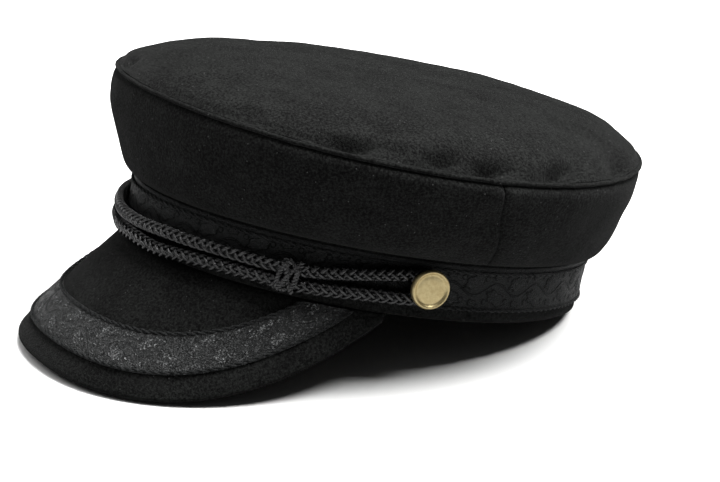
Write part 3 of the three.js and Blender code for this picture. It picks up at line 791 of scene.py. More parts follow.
def moved_round(tree, curves, angle, radius):
    """Curves moved off their path: to an angle round it, at a radius from it."""
    normal = add_node(tree, "GeometryNodeInputNormal")
    tangent = add_node(tree, "GeometryNodeInputTangent")
    turned = add_node(tree, "ShaderNodeVectorRotate",
                      {"Vector": normal, "Axis": tangent, "Angle": angle})
    offset = add_node(tree, "ShaderNodeVectorMath", {0: turned, "Scale": radius},
                      operation="SCALE")
    return add_node(tree, "GeometryNodeSetPosition", {"Geometry": curves, "Offset": offset})


def tube_along(tree, curves, radius, sides):
    ring = add_node(tree, "GeometryNodeCurvePrimitiveCircle",
                    {"Resolution": sides, "Radius": radius})
    return add_node(tree, "GeometryNodeCurveToMesh",
                    {"Curve": curves, "Profile Curve": ring, "Fill Caps": True})


def rope_tree():
    """Plies twisted round each other along a path."""
    tree, given = new_tree("Twisted rope", {
        "Plies": "NodeSocketInt", "Twist Radius": "NodeSocketFloat",
        "Ply Radius": "NodeSocketFloat", "Lead": "NodeSocketFloat",
        "Samples": "NodeSocketInt", "Sides": "NodeSocketInt"})
    curve = add_node(tree, "GeometryNodeMeshToCurve", {"Mesh": given["Path"]})
    fine = add_node(tree, "GeometryNodeResampleCurve",
                    {"Curve": curve, "Count": given["Samples"]}, mode="COUNT")
    copies = add_node(tree, "GeometryNodeDuplicateElements",
                      {"Geometry": fine, "Amount": given["Plies"]}, domain="SPLINE")
    start = add_node(tree, "ShaderNodeMath",
                     {0: copies.outputs["Duplicate Index"], 1: given["Plies"]}, operation="DIVIDE")
    angle = add_node(tree, "ShaderNodeMath",
                     {0: start, 1: FULL_TURN, 2: turn_along(tree, given["Lead"])},
                     operation="MULTIPLY_ADD")
    plies = moved_round(tree, copies, angle, given["Twist Radius"])
    close_tree(tree, given, tube_along(tree, plies, given["Ply Radius"], given["Sides"]))
    return tree


def braid_tree():
    """Round braid of eight yarns, four each way, over two and under two, on a core."""
    each_way = 4
    tree, given = new_tree("Round braid", {
        "Braid Radius": "NodeSocketFloat", "Yarn Radius": "NodeSocketFloat",
        "Weave Depth": "NodeSocketFloat", "Lead": "NodeSocketFloat", "Samples": "NodeSocketInt",
        "Core Radius": "NodeSocketFloat"})
    curve = add_node(tree, "GeometryNodeMeshToCurve", {"Mesh": given["Path"]})
    fine = add_node(tree, "GeometryNodeResampleCurve",
                    {"Curve": curve, "Count": given["Samples"]}, mode="COUNT")
    copies = add_node(tree, "GeometryNodeDuplicateElements",
                      {"Geometry": fine, "Amount": 2 * each_way}, domain="SPLINE")
    index = copies.outputs["Duplicate Index"]
    place = add_node(tree, "ShaderNodeMath", {0: index, 1: each_way}, operation="MODULO")
    start = add_node(tree, "ShaderNodeMath", {0: place, 1: FULL_TURN / each_way},
                     operation="MULTIPLY")
    first = add_node(tree, "ShaderNodeMath", {0: index, 1: each_way - 0.5}, operation="LESS_THAN")
    hand = add_node(tree, "ShaderNodeMath", {0: first, 1: 2.0, 2: -1.0}, operation="MULTIPLY_ADD")
    turned = turn_along(tree, given["Lead"])
    angle = add_node(tree, "ShaderNodeMath", {0: turned, 1: hand, 2: start},
                     operation="MULTIPLY_ADD")
    # A yarn is over two others and then under two, its neighbour one crossing later
    waves = add_node(tree, "ShaderNodeMath", {0: turned, 1: each_way / 2}, operation="MULTIPLY")
    crossing = add_node(tree, "ShaderNodeMath", {0: place, 1: math.pi, 2: waves},
                        operation="MULTIPLY_ADD")
    phase = add_node(tree, "ShaderNodeMath", {0: hand, 1: math.pi / 4, 2: crossing},
                     operation="MULTIPLY_ADD")
    height = add_node(tree, "ShaderNodeMath", {0: phase}, operation="SINE")
    radius = add_node(tree, "ShaderNodeMath",
                      {0: height, 1: given["Weave Depth"], 2: given["Braid Radius"]},
                      operation="MULTIPLY_ADD")
    yarns = moved_round(tree, copies, angle, radius)
    outside = tube_along(tree, yarns, given["Yarn Radius"], BRAID_SIDES)
    core = tube_along(tree, fine, given["Core Radius"], 8)
    joined = add_node(tree, "GeometryNodeJoinGeometry", {0: outside})
    tree.links.new(core.outputs[0], joined.inputs[0])
    close_tree(tree, given, joined)
    return tree


def new_material(name):
    material = bpy.data.materials.new(name)
    material.use_nodes = True
    tree = material.node_tree
    return material, tree, tree.nodes["Principled BSDF"]


def set_shader(shader, **values):
    for name, value in values.items():
        shader.inputs[name.replace("_", " ")].default_value = value


def wool_material():
    """Melton wool: milled and brushed, so the eye sees a soft matt nap with paler fibres in
    it, a faint bloom at grazing angles and a few specks of lint. Its fibres are 0.03 mm; they
    are drawn about 0.5 mm wide, the finest that shows."""
    colours = bpy.context.scene.cap.colours
    material, tree, shader = new_material("melton_wool")
    place = add_node(tree, "ShaderNodeTexCoord").outputs["Object"]
    fibre = add_node(tree, "ShaderNodeTexNoise",
                     {"Vector": place, "Scale": 1000.0, "Detail": 3.0, "Roughness": 0.8})
    cloud = add_node(tree, "ShaderNodeTexNoise",
                     {"Vector": place, "Scale": 60.0, "Detail": 3.0, "Roughness": 0.55})
    mixed = add_node(tree, "ShaderNodeMath", {0: cloud, 1: 0.2, 2: fibre},
                     operation="MULTIPLY_ADD")
    ramp = add_node(tree, "ShaderNodeMapRange",
                    {"Value": mixed, "From Min": 0.5, "From Max": 0.76})
    colour = add_node(tree, "ShaderNodeMix",
                      {"Factor": ramp, 6: (*colours.wool, 1), 7: (*colours.wool_light, 1)},
                      data_type="RGBA")
    specks = add_node(tree, "ShaderNodeTexVoronoi", {"Vector": place, "Scale": 230.0})
    speck = add_node(tree, "ShaderNodeMath", {0: specks, 1: 0.06}, operation="LESS_THAN")
    linted = add_node(tree, "ShaderNodeMix",
                      {"Factor": speck, 6: colour.outputs[2], 7: (*colours.lint, 1)},
                      data_type="RGBA")
    tree.links.new(linted.outputs[2], shader.inputs["Base Color"])
    bump = add_node(tree, "ShaderNodeBump",
                    {"Strength": 1.0, "Distance": 0.0006, "Height": fibre})
    tree.links.new(bump.outputs[0], shader.inputs["Normal"])
    set_shader(shader, Roughness=0.92, IOR=1.5, Sheen_Weight=0.04, Sheen_Roughness=0.4,
               Sheen_Tint=(0.8, 0.8, 0.8, 1), Specular_IOR_Level=0.03)
    return material


def ribbon_material(name="woven_mohair_ribbon", ground=0.04, glint=1.0, shine=0.32):
    """Woven mohair and viscose ribbon: short yarns that each lean their own way, a raised
    pattern with dark outlines, and painted glints: single yarns, chosen at random, painted
    bright in the base colour, most of all on the pattern. The yarns are 0.3 mm apart; they are
    drawn 0.5 mm apart, the finest that shows."""
    colours = bpy.context.scene.cap.colours
    material, tree, shader = new_material(name)
    raised = add_node(tree, "ShaderNodeAttribute", attribute_name="relief").outputs["Fac"]
    where = add_node(tree, "ShaderNodeTexCoord").outputs["Object"]
    yarns = add_node(tree, "ShaderNodeTexVoronoi", {"Vector": where, "Scale": 2000.0})
    shade = add_node(tree, "ShaderNodeSeparateXYZ", {0: yarns.outputs["Color"]})
    # Painted glints: yarns chosen at random are painted bright in the base colour, most of all on
    # the raised pattern
    bright = add_node(tree, "ShaderNodeMath", {0: shade, 1: 6.0}, operation="POWER")
    spread = add_node(tree, "ShaderNodeMath", {0: raised, 1: 0.75, 2: 0.2},
                      operation="MULTIPLY_ADD")
    bright = add_node(tree, "ShaderNodeMath", {0: bright, 1: spread}, operation="MULTIPLY")
    # Tone of the painted glints over the ribbon's ground tone
    glint_paint_tone = add_node(tree, "ShaderNodeMath", {0: bright, 1: glint, 2: ground},
                     operation="MULTIPLY_ADD")
    flank = add_node(tree, "ShaderNodeMath", {0: raised, 1: 0.3}, operation="SUBTRACT")
    flank = add_node(tree, "ShaderNodeMath", {0: flank}, operation="ABSOLUTE")
    outline = add_node(tree, "ShaderNodeMapRange", {"Value": flank, "From Max": 0.24})
    tone = add_node(tree, "ShaderNodeMath", {0: outline, 1: glint_paint_tone}, operation="MULTIPLY")
    colour = add_node(tree, "ShaderNodeMix",
                      {"Factor": tone, 6: (*colours.ribbon, 1), 7: (*colours.ribbon_light_and_glint_paint, 1)},
                      data_type="RGBA")
    tree.links.new(colour.outputs[2], shader.inputs["Base Color"])
    bump = add_node(tree, "ShaderNodeBump",
                    {"Strength": 1.0, "Distance": 0.0006, "Height": yarns})
    lean = add_node(tree, "ShaderNodeVectorMath",
                    {0: yarns.outputs["Color"], 1: (0.5, 0.5, 0.5)}, operation="SUBTRACT")
    tilted = add_node(tree, "ShaderNodeVectorMath", {0: lean, 1: (0.5, 0.5, 0.5), 2: bump},
                      operation="MULTIPLY_ADD")
    normal = add_node(tree, "ShaderNodeVectorMath", {0: tilted}, operation="NORMALIZE")
    tree.links.new(normal.outputs[0], shader.inputs["Normal"])
    set_shader(shader, Roughness=0.34, IOR=1.5, Specular_IOR_Level=shine)
    return material


def few_glints_ribbon_material():
    """The same ribbon where it stands upright, a copy for how the light falls there: few painted
    glints and a lower shine, so its yarns look evenly dull.
    """
    return ribbon_material("woven_mohair_ribbon_few_painted_glints", ground=0.075, glint=0.12, shine=0.05)


def cord_material():
    """Viscose yarn: bright, almost silky, so each crown of the braid carries a small glint
    on a near black ground."""
    colours = bpy.context.scene.cap.colours
    material, tree, shader = new_material("braided_viscose")
    where = add_node(tree, "ShaderNodeTexCoord").outputs["Object"]
    grain = add_node(tree, "ShaderNodeTexNoise",
                     {"Vector": where, "Scale": 1100.0, "Detail": 3.0, "Roughness": 0.7})
    bump = add_node(tree, "ShaderNodeBump",
                    {"Strength": 0.8, "Distance": 0.0005, "Height": grain})
    tree.links.new(bump.outputs[0], shader.inputs["Normal"])
    set_shader(shader, Base_Color=(*colours.cord, 1), Roughness=0.24, IOR=1.52,
               Specular_IOR_Level=0.8)
    return material


def brass_material():
    """Stamped brass with a pale, worn finish: bright on the rim, mottled and duller on the
    face, with fine scratches."""
    colours = bpy.context.scene.cap.colours
    material, tree, shader = new_material("worn_brass")
    where = add_node(tree, "ShaderNodeTexCoord").outputs["Object"]
    cloud = add_node(tree, "ShaderNodeTexNoise",
                     {"Vector": where, "Scale": 700.0, "Detail": 5.0, "Roughness": 0.65})
    ramp = add_node(tree, "ShaderNodeMapRange",
                    {"Value": cloud, "From Min": 0.4, "From Max": 0.95})
    colour = add_node(tree, "ShaderNodeMix",
                      {"Factor": ramp, 6: (*colours.brass, 1),
                       7: (*colours.tarnish, 1)}, data_type="RGBA")
    tree.links.new(colour.outputs[2], shader.inputs["Base Color"])
    rough = add_node(tree, "ShaderNodeMapRange",
                     {"Value": cloud, "To Min": 0.3, "To Max": 0.55})
    tree.links.new(rough.outputs[0], shader.inputs["Roughness"])
    bump = add_node(tree, "ShaderNodeBump",
                    {"Strength": 0.35, "Distance": 0.0003, "Height": cloud})
    tree.links.new(bump.outputs[0], shader.inputs["Normal"])
    set_shader(shader, Metallic=1.0)
    return material


MATERIALS = {
    "melton_wool": wool_material,
    "woven_mohair_ribbon": ribbon_material,
    "woven_mohair_ribbon_few_painted_glints": few_glints_ribbon_material,
    "braided_viscose": cord_material,
    "worn_brass": brass_material,
}


def material_named(name):
    """Each material is made once and shared."""
    return bpy.data.materials.get(name) or MATERIALS[name]()


def add_rope(name, line, closed, samples):
    """Adds a two-ply rope edge of a ribbon along a line."""
    sizes = bpy.context.scene.cap.ribbon
    rope = run_tree(name, rope_tree(), line, closed,
                    {"Plies": 2, "Twist Radius": ROPE_TWIST, "Ply Radius": sizes.rope_ply,
                     "Lead": sizes.rope_lead, "Samples": samples, "Sides": ROPE_SIDES},
                    material_named("woven_mohair_ribbon_few_painted_glints"))
    finish_piece(rope, "woven_ribbon")


def uneven(points, size, seed):
    """Soft unevenness at each point, about -1 to 1, with hills of a given size."""
    flat = points.reshape(-1, 3)
    shift = Vector((seed, 2.7 * seed, 1.3 * seed))
    values = [noise.noise(Vector(p) / size + shift) for p in flat]
    return np.array(values).reshape(points.shape[:-1])


class Builder:
    """What the operators share: each builds its pieces from the scene's settings."""

    def execute(self, context):
        self.build(CapShape(context.scene.cap), context.scene.cap)
        return {"FINISHED"}


class CAP_OT_crown_top(Builder, bpy.types.Operator):
    """Adds the puffed top panel with its hollows and its pockets at the welt"""
    bl_idname = "cap.crown_top"
    bl_label = "Crown top"

    def build(self, shape, cap):
        around, inwards = TOP_POINTS
        angles = np.linspace(0, FULL_TURN, around, endpoint=False)
        out, rise = smooth_rows(TOP_ROWS, inwards)
        out, rise = out[:-1], rise[:-1]
        grid = shape.top_point(angles[None, :], out[:, None], rise[:, None])
        for height, hill, seed in TOP_UNEVEN:
            grid[..., 2] += height * uneven(grid, hill, seed) * ease(1, 0.9, out)[:, None]
        rows, columns = grid.shape[:2]
        middle = grid[-1].mean(axis=0)
        points = np.vstack([grid.reshape(-1, 3), middle])
        faces = grid_faces(rows, columns, wraps_columns=True)
        last = (rows - 1) * columns
        faces += [(last + j, last + (j + 1) % columns, rows * columns) for j in range(columns)]
        piece = add_piece("crown_top_cloth", points, faces, material_named("melton_wool"))
        upward = sum(p.normal.z for p in piece.data.polygons)
        if upward < 0:
            piece.data.flip_normals()
        thicken(piece, cap.crown.cloth)
        finish_piece(piece, "wool_cloth", "crown_top")


class CAP_OT_crown_sides(Builder, bpy.types.Operator):
    """Adds the two bulging side panels, drawn in where they are sewn together"""
    bl_idname = "cap.crown_sides"
    bl_label = "Crown sides"

    def build(self, shape, cap):
        around, upwards = SIDE_POINTS
        rise, reach = smooth_rows(SIDE_ROWS, upwards)
        edge = shape.side_seam(rise)
        for name, node, start, end in (
                ("crown_side_front_cloth", "crown_side_front", -edge, edge),
                ("crown_side_back_cloth", "crown_side_back", edge, FULL_TURN - edge)):
            angles = np.linspace(start, end, around, axis=1)
            grid = shape.side_point(angles, rise[:, None], reach[:, None])
            lift = (ease(0, 0.15, rise) * ease(1, 0.9, rise))[:, None]
            drift = sum(height * uneven(grid, hill, seed) for height, hill, seed in SIDE_UNEVEN)
            grid = grid - (drift * lift)[..., None] * shape.band_normal(angles)
            piece = add_piece(name, grid.reshape(-1, 3), grid_faces(*grid.shape[:2]),
                              material_named("melton_wool"))
            middle = standing_place()[1]
            outward = sum(p.normal.dot(p.center - middle) for p in piece.data.polygons)
            if outward < 0:
                piece.data.flip_normals()
            thicken(piece, cap.crown.cloth)
            finish_piece(piece, "wool_cloth", node)


class CAP_OT_welt(Builder, bpy.types.Operator):
    """Adds the thin welt in the seam between the top and the sides"""
    bl_idname = "cap.welt"
    bl_label = "Welt"

    def build(self, shape, cap):
        angles = np.linspace(0, FULL_TURN, WELT_POINTS, endpoint=False)
        line = shape.crown_point(angles, 1.0, shape.seam_height(angles))
        height, hill, seed = WELT_PUCKER
        outward = cap.crown.welt_out + height * uneven(line, hill, seed)
        line = line + outward[:, None] * shape.band_normal(angles)
        height, hill, seed = WELT_WAVE
        line[:, 2] += height * uneven(line, hill, seed)
        piece = run_tree("crown_welt_piping", rope_tree(), line, True,
                         {"Plies": 1, "Twist Radius": 0.0, "Ply Radius": cap.crown.welt / 2,
                          "Lead": 1.0, "Samples": WELT_POINTS, "Sides": 10},
                         material_named("melton_wool"))
        finish_piece(piece, "wool_cloth", "crown_welt")


def rounded_section(width, height, radius, steps=4):
    """Corners of a rectangle from (0, 0) to (width, height), rounded by short arcs."""
    points = []
    for corner, (x, y) in enumerate(((width - radius, radius), (width - radius, height - radius),
                                     (radius, height - radius), (radius, radius))):
        for step in range(steps + 1):
            angle = -math.pi / 2 + corner * math.pi / 2 + step / steps * math.pi / 2
            points.append((x + radius * math.cos(angle), y + radius * math.sin(angle)))
    return points


class CAP_OT_band(Builder, bpy.types.Operator):
    """Adds the head band with its soft folded edge"""
    bl_idname = "cap.band"
    bl_label = "Head band"

    def build(self, shape, cap):
        wall = cap.band.wall
        angles = np.linspace(0, FULL_TURN, BAND_POINTS, endpoint=False)
        section = rounded_section(wall, shape.band_height, cap.band.edge)
        grid = np.stack([shape.band_point(angles, x - wall, y) for x, y in section])
        piece = add_piece("cap_band_cloth", grid.reshape(-1, 3),
                          grid_faces(*grid.shape[:2], wraps_rows=True, wraps_columns=True),
                          material_named("melton_wool"))
        face_outward(piece)
        finish_piece(piece, "wool_cloth", "cap_band")


def leaf(x, y, tilt, long, wide):
    """Relief of one lobed leaf with its veins, about zero to one."""
    along = x * math.cos(tilt) + y * math.sin(tilt)
    across = y * math.cos(tilt) - x * math.sin(tilt)
    reach = np.hypot(along / long, across / wide)
    lobes = 1 + 0.15 * np.cos(6 * np.arctan2(across / wide, along / long))
    inside = ease(1.05, 0.6, reach / lobes)
    veins = 0.35 * bell(across / VEIN_HALF) + 0.22 * np.cos(
        FULL_TURN * (along - 0.9 * np.abs(across)) / VEIN_STEP)
    return inside * (0.75 + 0.3 * (1 - reach) - veins)


def leaf_scroll(along, across, repeat):
    """Relief of a plain running pattern: a wavy stem with a leaf in each bay and a berry
    at each crossing. Along and across are metres on the ribbon."""
    def from_place(part):
        """Distance along the ribbon from the nearest place at a share of the repeat."""
        return (along / repeat - part + 0.5) % 1 * repeat - repeat / 2

    relief = 0.7 * bell((across - STEM_SWING * np.sin(FULL_TURN / repeat * along)) / STEM_HALF)
    for part, side in ((0.25, -1), (0.75, 1)):
        x = from_place(part)
        off, tilt, long, wide = LARGE_LEAF
        relief = np.maximum(relief, leaf(x, across - side * off, side * tilt, long, wide))
        off, tilt, long, wide = SMALL_LEAF
        relief = np.maximum(relief, 0.8 * leaf(x, across + side * off, -side * tilt, long, wide))
    for part, side in ((0.0, 1), (0.5, -1)):
        for place in BERRY_PLACES:
            reach = np.hypot(from_place(part), across - place * side) / BERRY_RADIUS
            berry = ease(1.1, 0.75, reach) * (0.55 + 0.45 * np.cos(3.4 * reach))
            relief = np.maximum(relief, berry)
    bead_long, bead_wide = BEAD_STEPS
    beads = np.cos(FULL_TURN * along / bead_long) * np.cos(FULL_TURN * across / bead_wide)
    return relief * (0.86 + 0.14 * beads) * ease(*PATTERN_FADE, np.abs(across))


def ribbon_lift(shape, relief, across):
    """Height of the ribbon's face over its ground, with the pattern and the low edges."""
    sizes = shape.cap.ribbon
    edge = ease(sizes.wide / 2, sizes.wide / 2 - RIBBON_EDGE_WIDTH, np.abs(across))
    face = shape.ribbon_face - RIBBON_SINK + sizes.relief * relief
    return face - RIBBON_EDGE_DROP * (1 - edge)


class CAP_OT_band_ribbon(Builder, bpy.types.Operator):
    """Adds the woven ribbon round the band, with its raised pattern and rope edges"""
    bl_idname = "cap.band_ribbon"
    bl_label = "Band ribbon"

    def build(self, shape, cap):
        sizes = cap.ribbon
        lengthways, crossways = BAND_RIBBON_POINTS
        fine = math.pi + np.linspace(0, FULL_TURN, BAND_LINE_POINTS)
        line = shape.band_point(fine, shape.ribbon_face, 0.0)
        angles, along, whole = evenly_spaced(line, fine, lengthways, True)
        repeat = whole / round(whole / sizes.repeat)
        across = np.linspace(-sizes.wide / 2, sizes.wide / 2, crossways)
        relief = leaf_scroll(along[None, :], across[:, None], repeat)
        outside = ribbon_lift(shape, relief, across[:, None])
        height = (sizes.hem + sizes.wide / 2 + across)[:, None] + 0 * along[None, :]
        face = shape.band_point(angles[None, :], outside, height)
        back = shape.band_point(angles[None, :], shape.cap.band.seat_gap, height[[-1, 0]])
        grid = np.vstack([face, back])
        piece = add_piece("band_ribbon_woven", grid.reshape(-1, 3),
                          grid_faces(*grid.shape[:2], wraps_rows=True, wraps_columns=True),
                          material_named("woven_mohair_ribbon_few_painted_glints"))
        face_outward(piece)
        add_relief(piece, relief)
        finish_piece(piece, "woven_ribbon", "band_ribbon")
        even = math.pi + np.linspace(0, FULL_TURN, BAND_ROPE_POINTS, endpoint=False)
        for word, height in (("upper", shape.ribbon_top - sizes.rope_inset - UPPER_ROPE_DROP),
                             ("lower", sizes.hem + sizes.rope_inset)):
            add_rope(f"band_ribbon_{word}_rope",
                     shape.band_point(even, shape.ribbon_face, height), True,
                     BAND_ROPE_SAMPLES)


class CAP_OT_peak(Builder, bpy.types.Operator):
    """Adds the cloth-covered peak with its rounded edge"""
    bl_idname = "cap.peak"
    bl_label = "Peak"

    def build(self, shape, cap):
        peak, band = cap.peak, cap.band
        end = peak.span * peak.last_share
        around, above, edge, below = PEAK_POINTS
        angles = np.linspace(-end, end, around)
        length_here = shape.peak_length(angles)
        half = peak.thick / 2
        tongue = band.wall + band.seat_gap
        drop = shape.peak_drop(angles)
        bend = peak.thick * (1 - np.cos(drop)) / np.sin(drop)
        lip = np.maximum(length_here - half, bend)

        def raised(distance, height):
            point = shape.peak_point(angles, distance)
            return point + height * shape.peak_normal(angles, distance)

        loops = [shape.band_point(angles, -tongue, -band.seat_gap)]
        loops += [raised(part * lip, 0.0) for part in np.linspace(0, 1, above)]
        for step in np.linspace(0, math.pi, edge)[1:-1]:
            centre = raised(lip, -half)
            outward = shape.peak_down(angles, lip)
            upward = shape.peak_normal(angles, lip)
            loops.append(centre + half * (math.cos(step) * upward + math.sin(step) * outward))
        loops += [raised(bend + part * (lip - bend), -peak.thick)
                  for part in np.linspace(1, 0, below)]
        loops.append(shape.band_point(angles, -tongue, -band.seat_gap - peak.thick))
        grid = np.stack(loops)
        rows, columns = grid.shape[:2]
        faces = grid_faces(rows, columns, wraps_rows=True) + end_faces(rows, columns)
        piece = add_piece("peak_cloth", grid.reshape(-1, 3), faces,
                          material_named("melton_wool"))
        face_outward(piece)
        finish_piece(piece, "wool_cloth", "peak")


class CAP_OT_peak_ribbon(Builder, bpy.types.Operator):
    """Adds the ribbon along the peak's edge, cut where it runs out at the band"""
    bl_idname = "cap.peak_ribbon"
    bl_label = "Peak ribbon"

    def build(self, shape, cap):
        sizes = cap.ribbon
        lengthways, crossways = PEAK_RIBBON_POINTS
        least = 2 * cap.band.seat_gap
        end = cap.peak.span * 0.99
        fine = np.linspace(-end, end, PEAK_LINE_POINTS)
        slant = shape.peak_slant(fine)
        outer = shape.peak_length(fine) - cap.peak.trim_inset / slant
        kept = outer > least + 1.2 * MM
        fine, slant, outer = fine[kept], slant[kept], outer[kept]
        inner = np.maximum(outer - sizes.wide / slant, least)
        angles, along, whole = evenly_spaced(shape.peak_point(fine, (outer + inner) / 2),
                                             fine, lengthways, False)
        slant = np.interp(angles, fine, slant)
        outer = np.interp(angles, fine, outer)
        inner = np.interp(angles, fine, inner)
        part = np.linspace(0, 1, crossways)[:, None]
        distance = inner + part * (outer - inner)
        across = sizes.wide / 2 - (outer - distance) * slant
        repeat = whole / round(whole / sizes.repeat)
        relief = leaf_scroll(along[None, :], across, repeat)
        # A narrow gap in the pattern, where the ribbon's two ends are sewn together
        join = bell((along - np.interp(cap.peak.join_turn, angles, along)) / (0.5 * MM))[None, :]
        lifted = ribbon_lift(shape, relief * (1 - join), across) - 0.5 * MM * join
        turned = angles[None, :] + 0 * distance
        normal = shape.peak_normal(turned, distance)
        face = shape.peak_point(turned, distance) + lifted[..., None] * normal
        seat = shape.peak_point(turned, distance) + cap.band.seat_gap * normal
        grid = np.vstack([face, seat[[-1, 0]]])
        rows, columns = grid.shape[:2]
        faces = grid_faces(rows, columns, wraps_rows=True) + end_faces(rows, columns)
        piece = add_piece("peak_ribbon_woven", grid.reshape(-1, 3), faces,
                          material_named("woven_mohair_ribbon"))
        face_outward(piece)
        add_relief(piece, relief)
        finish_piece(piece, "woven_ribbon", "peak_ribbon")
        for word, depth in (("outer", sizes.rope_inset),
                            ("inner", sizes.wide - sizes.rope_inset)):
            at = outer - depth / slant
            shown = at > inner + 0.2 * MM
            point = shape.peak_point(angles, at)
            point = point + shape.ribbon_face * shape.peak_normal(angles, at)
            add_rope(f"peak_ribbon_{word}_rope", point[shown], False, PEAK_ROPE_SAMPLES)


class CAP_OT_chin_cord(Builder, bpy.types.Operator):
    """Adds the braided chin cord, one loop round both buttons"""
    bl_idname = "cap.chin_cord"
    bl_label = "Chin cord"

    def build(self, shape, cap):
        cord = cap.cord
        radius = cord.wide / 2 - cord.yarn - cord.weave
        piece = run_tree("chin_cord_braid", braid_tree(), shape.cord_line(), True,
                         {"Braid Radius": radius + cord.fullness, "Yarn Radius": cord.yarn,
                          "Weave Depth": cord.weave, "Lead": cord.lead,
                          "Samples": BRAID_SAMPLES,
                          "Core Radius": radius - 0.5 * cord.yarn},
                         material_named("braided_viscose"))
        finish_piece(piece, "braided_cord", "chin_cord")


class CAP_OT_knots(Builder, bpy.types.Operator):
    """Adds the two sliding knots: a cord plaited four wide round both strands"""
    bl_idname = "cap.knots"
    bl_label = "Sliding knots"

    def build(self, shape, cap):
        cord = cap.cord
        tree = rope_tree()
        thin, leads, bights = KNOT_CORD, KNOT_LEADS, KNOT_BIGHTS
        for side, word in SIDES:
            angle = side * cord.knot_turn
            upper, lower = shape.strand_heights(np.array(angle))
            centre = shape.band_point(angle, shape.cord_outside(angle), (upper + lower) / 2)
            along, outward = shape.band_directions(angle)
            part = np.linspace(0, 1, KNOT_LINE_POINTS, endpoint=False)
            turned = FULL_TURN * leads * part
            swing_out = (cord.knot_wide / 2 + 0.1 * thin) * np.cos(FULL_TURN * bights * part)
            reach = shape.cord_radius - 0.1 * thin + 0.45 * thin * np.cos(
                FULL_TURN * bights * (leads - 1) * part)
            straight = shape.strands_closed / 2 * np.tanh(3 * np.sin(turned))
            rise = reach * np.sin(turned) + straight
            line = (centre + (swing_out + side * 0.2 * rise)[:, None] * along
                    + (reach * np.cos(turned))[:, None] * outward
                    + rise[:, None] * UPWARD)
            piece = run_tree(f"knot_{word}_turns", tree, line, True,
                             {"Plies": 3, "Twist Radius": 0.68 * MM, "Ply Radius": 0.7 * MM,
                              "Lead": 4.6 * MM, "Samples": KNOT_SAMPLES, "Sides": ROPE_SIDES},
                             material_named("braided_viscose"))
            finish_piece(piece, "braided_cord", f"knot_{word}")


class CAP_OT_buttons(Builder, bpy.types.Operator):
    """Adds the two brass shank buttons with their raised rims"""
    bl_idname = "cap.buttons"
    bl_label = "Buttons"

    def build(self, shape, cap):
        button = cap.button
        gap = cap.band.seat_gap
        edge = button.wide / 2
        back = cap.cord.wide + gap
        front = back + button.thick
        bevel = button.bevel
        steps_round, steps_down = BUTTON_POINTS
        radii, heights = smooth_rows([
            (0.02 * MM, front - 0.5 * MM),
            (edge * 0.5, front - 0.55 * MM),
            (edge - button.rim - 0.5 * MM, front - 0.75 * MM),
            (edge - button.rim + 0.1 * MM, front - 0.45 * MM),
            (edge - button.rim * 0.62, front - 0.02 * MM),
            (edge - button.rim * 0.3, front - 0.05 * MM),
            (edge - 0.12 * MM, front - bevel),
            (edge, front - button.thick * 0.5),
            (edge - bevel, back),
            (button.shank / 2 + 0.6 * MM, back - 0.1 * MM),
            (button.shank / 2, back - 0.8 * MM),
            (button.shank / 2, 0.3 * MM),
            (0.02 * MM, 0.0)], steps_down)
        turned = np.linspace(0, FULL_TURN, steps_round, endpoint=False)
        for side, word in SIDES:
            angle = side * button.turn
            centre = shape.band_point(angle, shape.ribbon_face + gap, shape.button_height)
            along, outward = shape.band_directions(angle)
            ring = np.cos(turned)[:, None] * along + np.sin(turned)[:, None] * UPWARD
            grid = (centre + heights[:, None, None] * outward
                    + radii[:, None, None] * ring[None, :, :])
            rows, columns = grid.shape[:2]
            faces = grid_faces(rows, columns, wraps_columns=True)
            faces.append(list(range(columns)))
            faces.append([(rows - 1) * columns + i for i in reversed(range(columns))])
            piece = add_piece(f"button_{word}_brass", grid.reshape(-1, 3), faces,
                              material_named("worn_brass"))
            face_outward(piece)
            finish_piece(piece, "pale_brass", f"button_{word}")


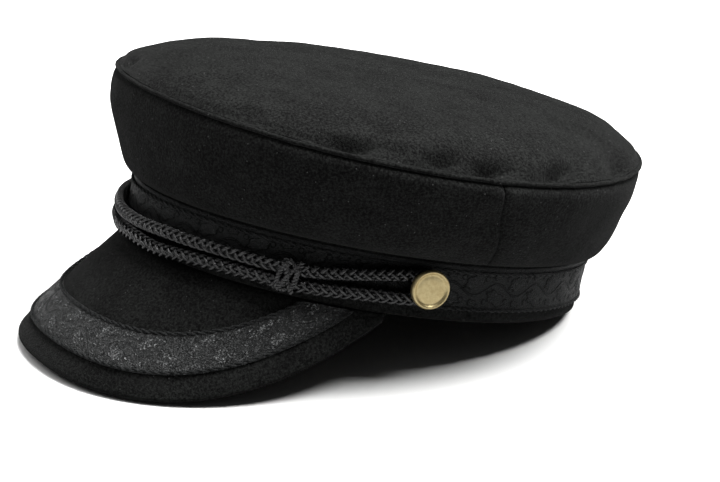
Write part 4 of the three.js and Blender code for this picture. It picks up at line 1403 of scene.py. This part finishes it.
class CAP_OT_stage(Builder, bpy.types.Operator):
    """Adds the pale floor, the soft light and the camera"""
    bl_idname = "cap.stage"
    bl_label = "Stage"

    def build(self, shape, cap):
        scene = bpy.context.scene
        settings = cap.stage
        half = FLOOR_HALF
        corners = [(-half, -half, 0), (half, -half, 0), (half, half, 0), (-half, half, 0)]
        mesh = bpy.data.meshes.new("floor")
        mesh.from_pydata(corners, [], [(0, 1, 2, 3)])
        floor = bpy.data.objects.new("floor", mesh)
        scene.collection.objects.link(floor)
        # White in the picture, but the cap gets little light back from it, as in the photo
        material, tree, shader = new_material("white_paper")
        seen = add_node(tree, "ShaderNodeLightPath").outputs["Is Camera Ray"]
        white = (*cap.colours.floor, 1)
        grey = (settings.bounce, settings.bounce, settings.bounce, 1)
        tone = add_node(tree, "ShaderNodeMix", {"Factor": seen, 6: grey, 7: white},
                        data_type="RGBA")
        tree.links.new(tone.outputs[2], shader.inputs["Base Color"])
        set_shader(shader, Roughness=0.9, Specular_IOR_Level=0.1)
        mesh.materials.append(material)
        world = bpy.data.worlds.new("soft_light")
        world.use_nodes = True
        tree = world.node_tree
        sky = tree.nodes["Background"]
        sky.inputs["Color"].default_value = (1, 1, 1, 1)
        sky.inputs["Strength"].default_value = settings.sky
        # Past the floor the camera sees the same white as on it
        wall = add_node(tree, "ShaderNodeBackground", {"Color": (1, 1, 1, 1), "Strength": 1.0})
        seen = add_node(tree, "ShaderNodeLightPath").outputs["Is Camera Ray"]
        both = add_node(tree, "ShaderNodeMixShader", {0: seen, 1: sky, 2: wall})
        tree.links.new(both.outputs[0], tree.nodes["World Output"].inputs["Surface"])
        scene.world = world
        azimuth, elevation = settings.azimuth, settings.elevation
        right = Vector((math.cos(azimuth), math.sin(azimuth), 0))
        near = Vector((math.sin(azimuth), -math.cos(azimuth), 0))
        aside = azimuth - settings.fill_aside
        overhead = (Vector((0, 0, 1)) + math.tan(settings.lean_near) * near
                    + math.tan(settings.lean_right) * right)
        front_left = Vector((math.sin(aside), -math.cos(aside), math.tan(settings.fill_height)))
        for name, energy, towards in (("overhead_light", settings.lamp, overhead),
                                      ("front_left_light", settings.fill, front_left)):
            lamp = bpy.data.lights.new(name, "SUN")
            lamp.energy = energy
            lamp.angle = settings.softness
            holder = bpy.data.objects.new(name, lamp)
            holder.matrix_world = towards.to_track_quat("Z", "Y").to_matrix().to_4x4()
            scene.collection.objects.link(holder)
        back = Vector((math.sin(azimuth) * math.cos(elevation),
                       -math.cos(azimuth) * math.cos(elevation), math.sin(elevation)))
        up = back.cross(right)
        target = standing_place()[1] + Vector((0, 0, settings.target))
        view = bpy.data.cameras.new("camera")
        view.sensor_width = 36
        view.lens = settings.lens
        camera = bpy.data.objects.new("camera", view)
        place = target + settings.distance * back + settings.aside * right - settings.lower * up
        turning = Matrix((right, up, back)).transposed().to_4x4()
        camera.matrix_world = Matrix.Translation(place) @ turning
        scene.collection.objects.link(camera)
        scene.camera = camera
        scene.view_settings.view_transform = "Standard"


class CAP_PT_panel(bpy.types.Panel):
    """Buttons that build the cap piece by piece"""
    bl_idname = "CAP_PT_panel"
    bl_label = "Soft peaked cap"
    bl_space_type = "VIEW_3D"
    bl_region_type = "UI"
    bl_category = "Cap"

    def draw(self, context):
        for operator in OPERATORS:
            self.layout.operator(operator.bl_idname)


OPERATORS = [
    CAP_OT_stage,
    CAP_OT_crown_top,
    CAP_OT_crown_sides,
    CAP_OT_welt,
    CAP_OT_band,
    CAP_OT_band_ribbon,
    CAP_OT_peak,
    CAP_OT_peak_ribbon,
    CAP_OT_chin_cord,
    CAP_OT_knots,
    CAP_OT_buttons,
]

SETTINGS = [
    BandSizes,
    RibbonSizes,
    CrownSizes,
    PeakSizes,
    CordSizes,
    ButtonSizes,
    CapColours,
    StageSettings,
    CapSettings,
]


def register():
    for item in (*SETTINGS, *OPERATORS, CAP_PT_panel):
        bpy.utils.register_class(item)
    bpy.types.Scene.cap = bpy.props.PointerProperty(type=CapSettings)


def unregister():
    del bpy.types.Scene.cap
    for item in reversed((*SETTINGS, *OPERATORS, CAP_PT_panel)):
        bpy.utils.unregister_class(item)


def main():
    register()
    for operator in OPERATORS:
        group, name = operator.bl_idname.split(".")
        getattr(getattr(bpy.ops, group), name)()


if __name__ == "__main__":
    main()
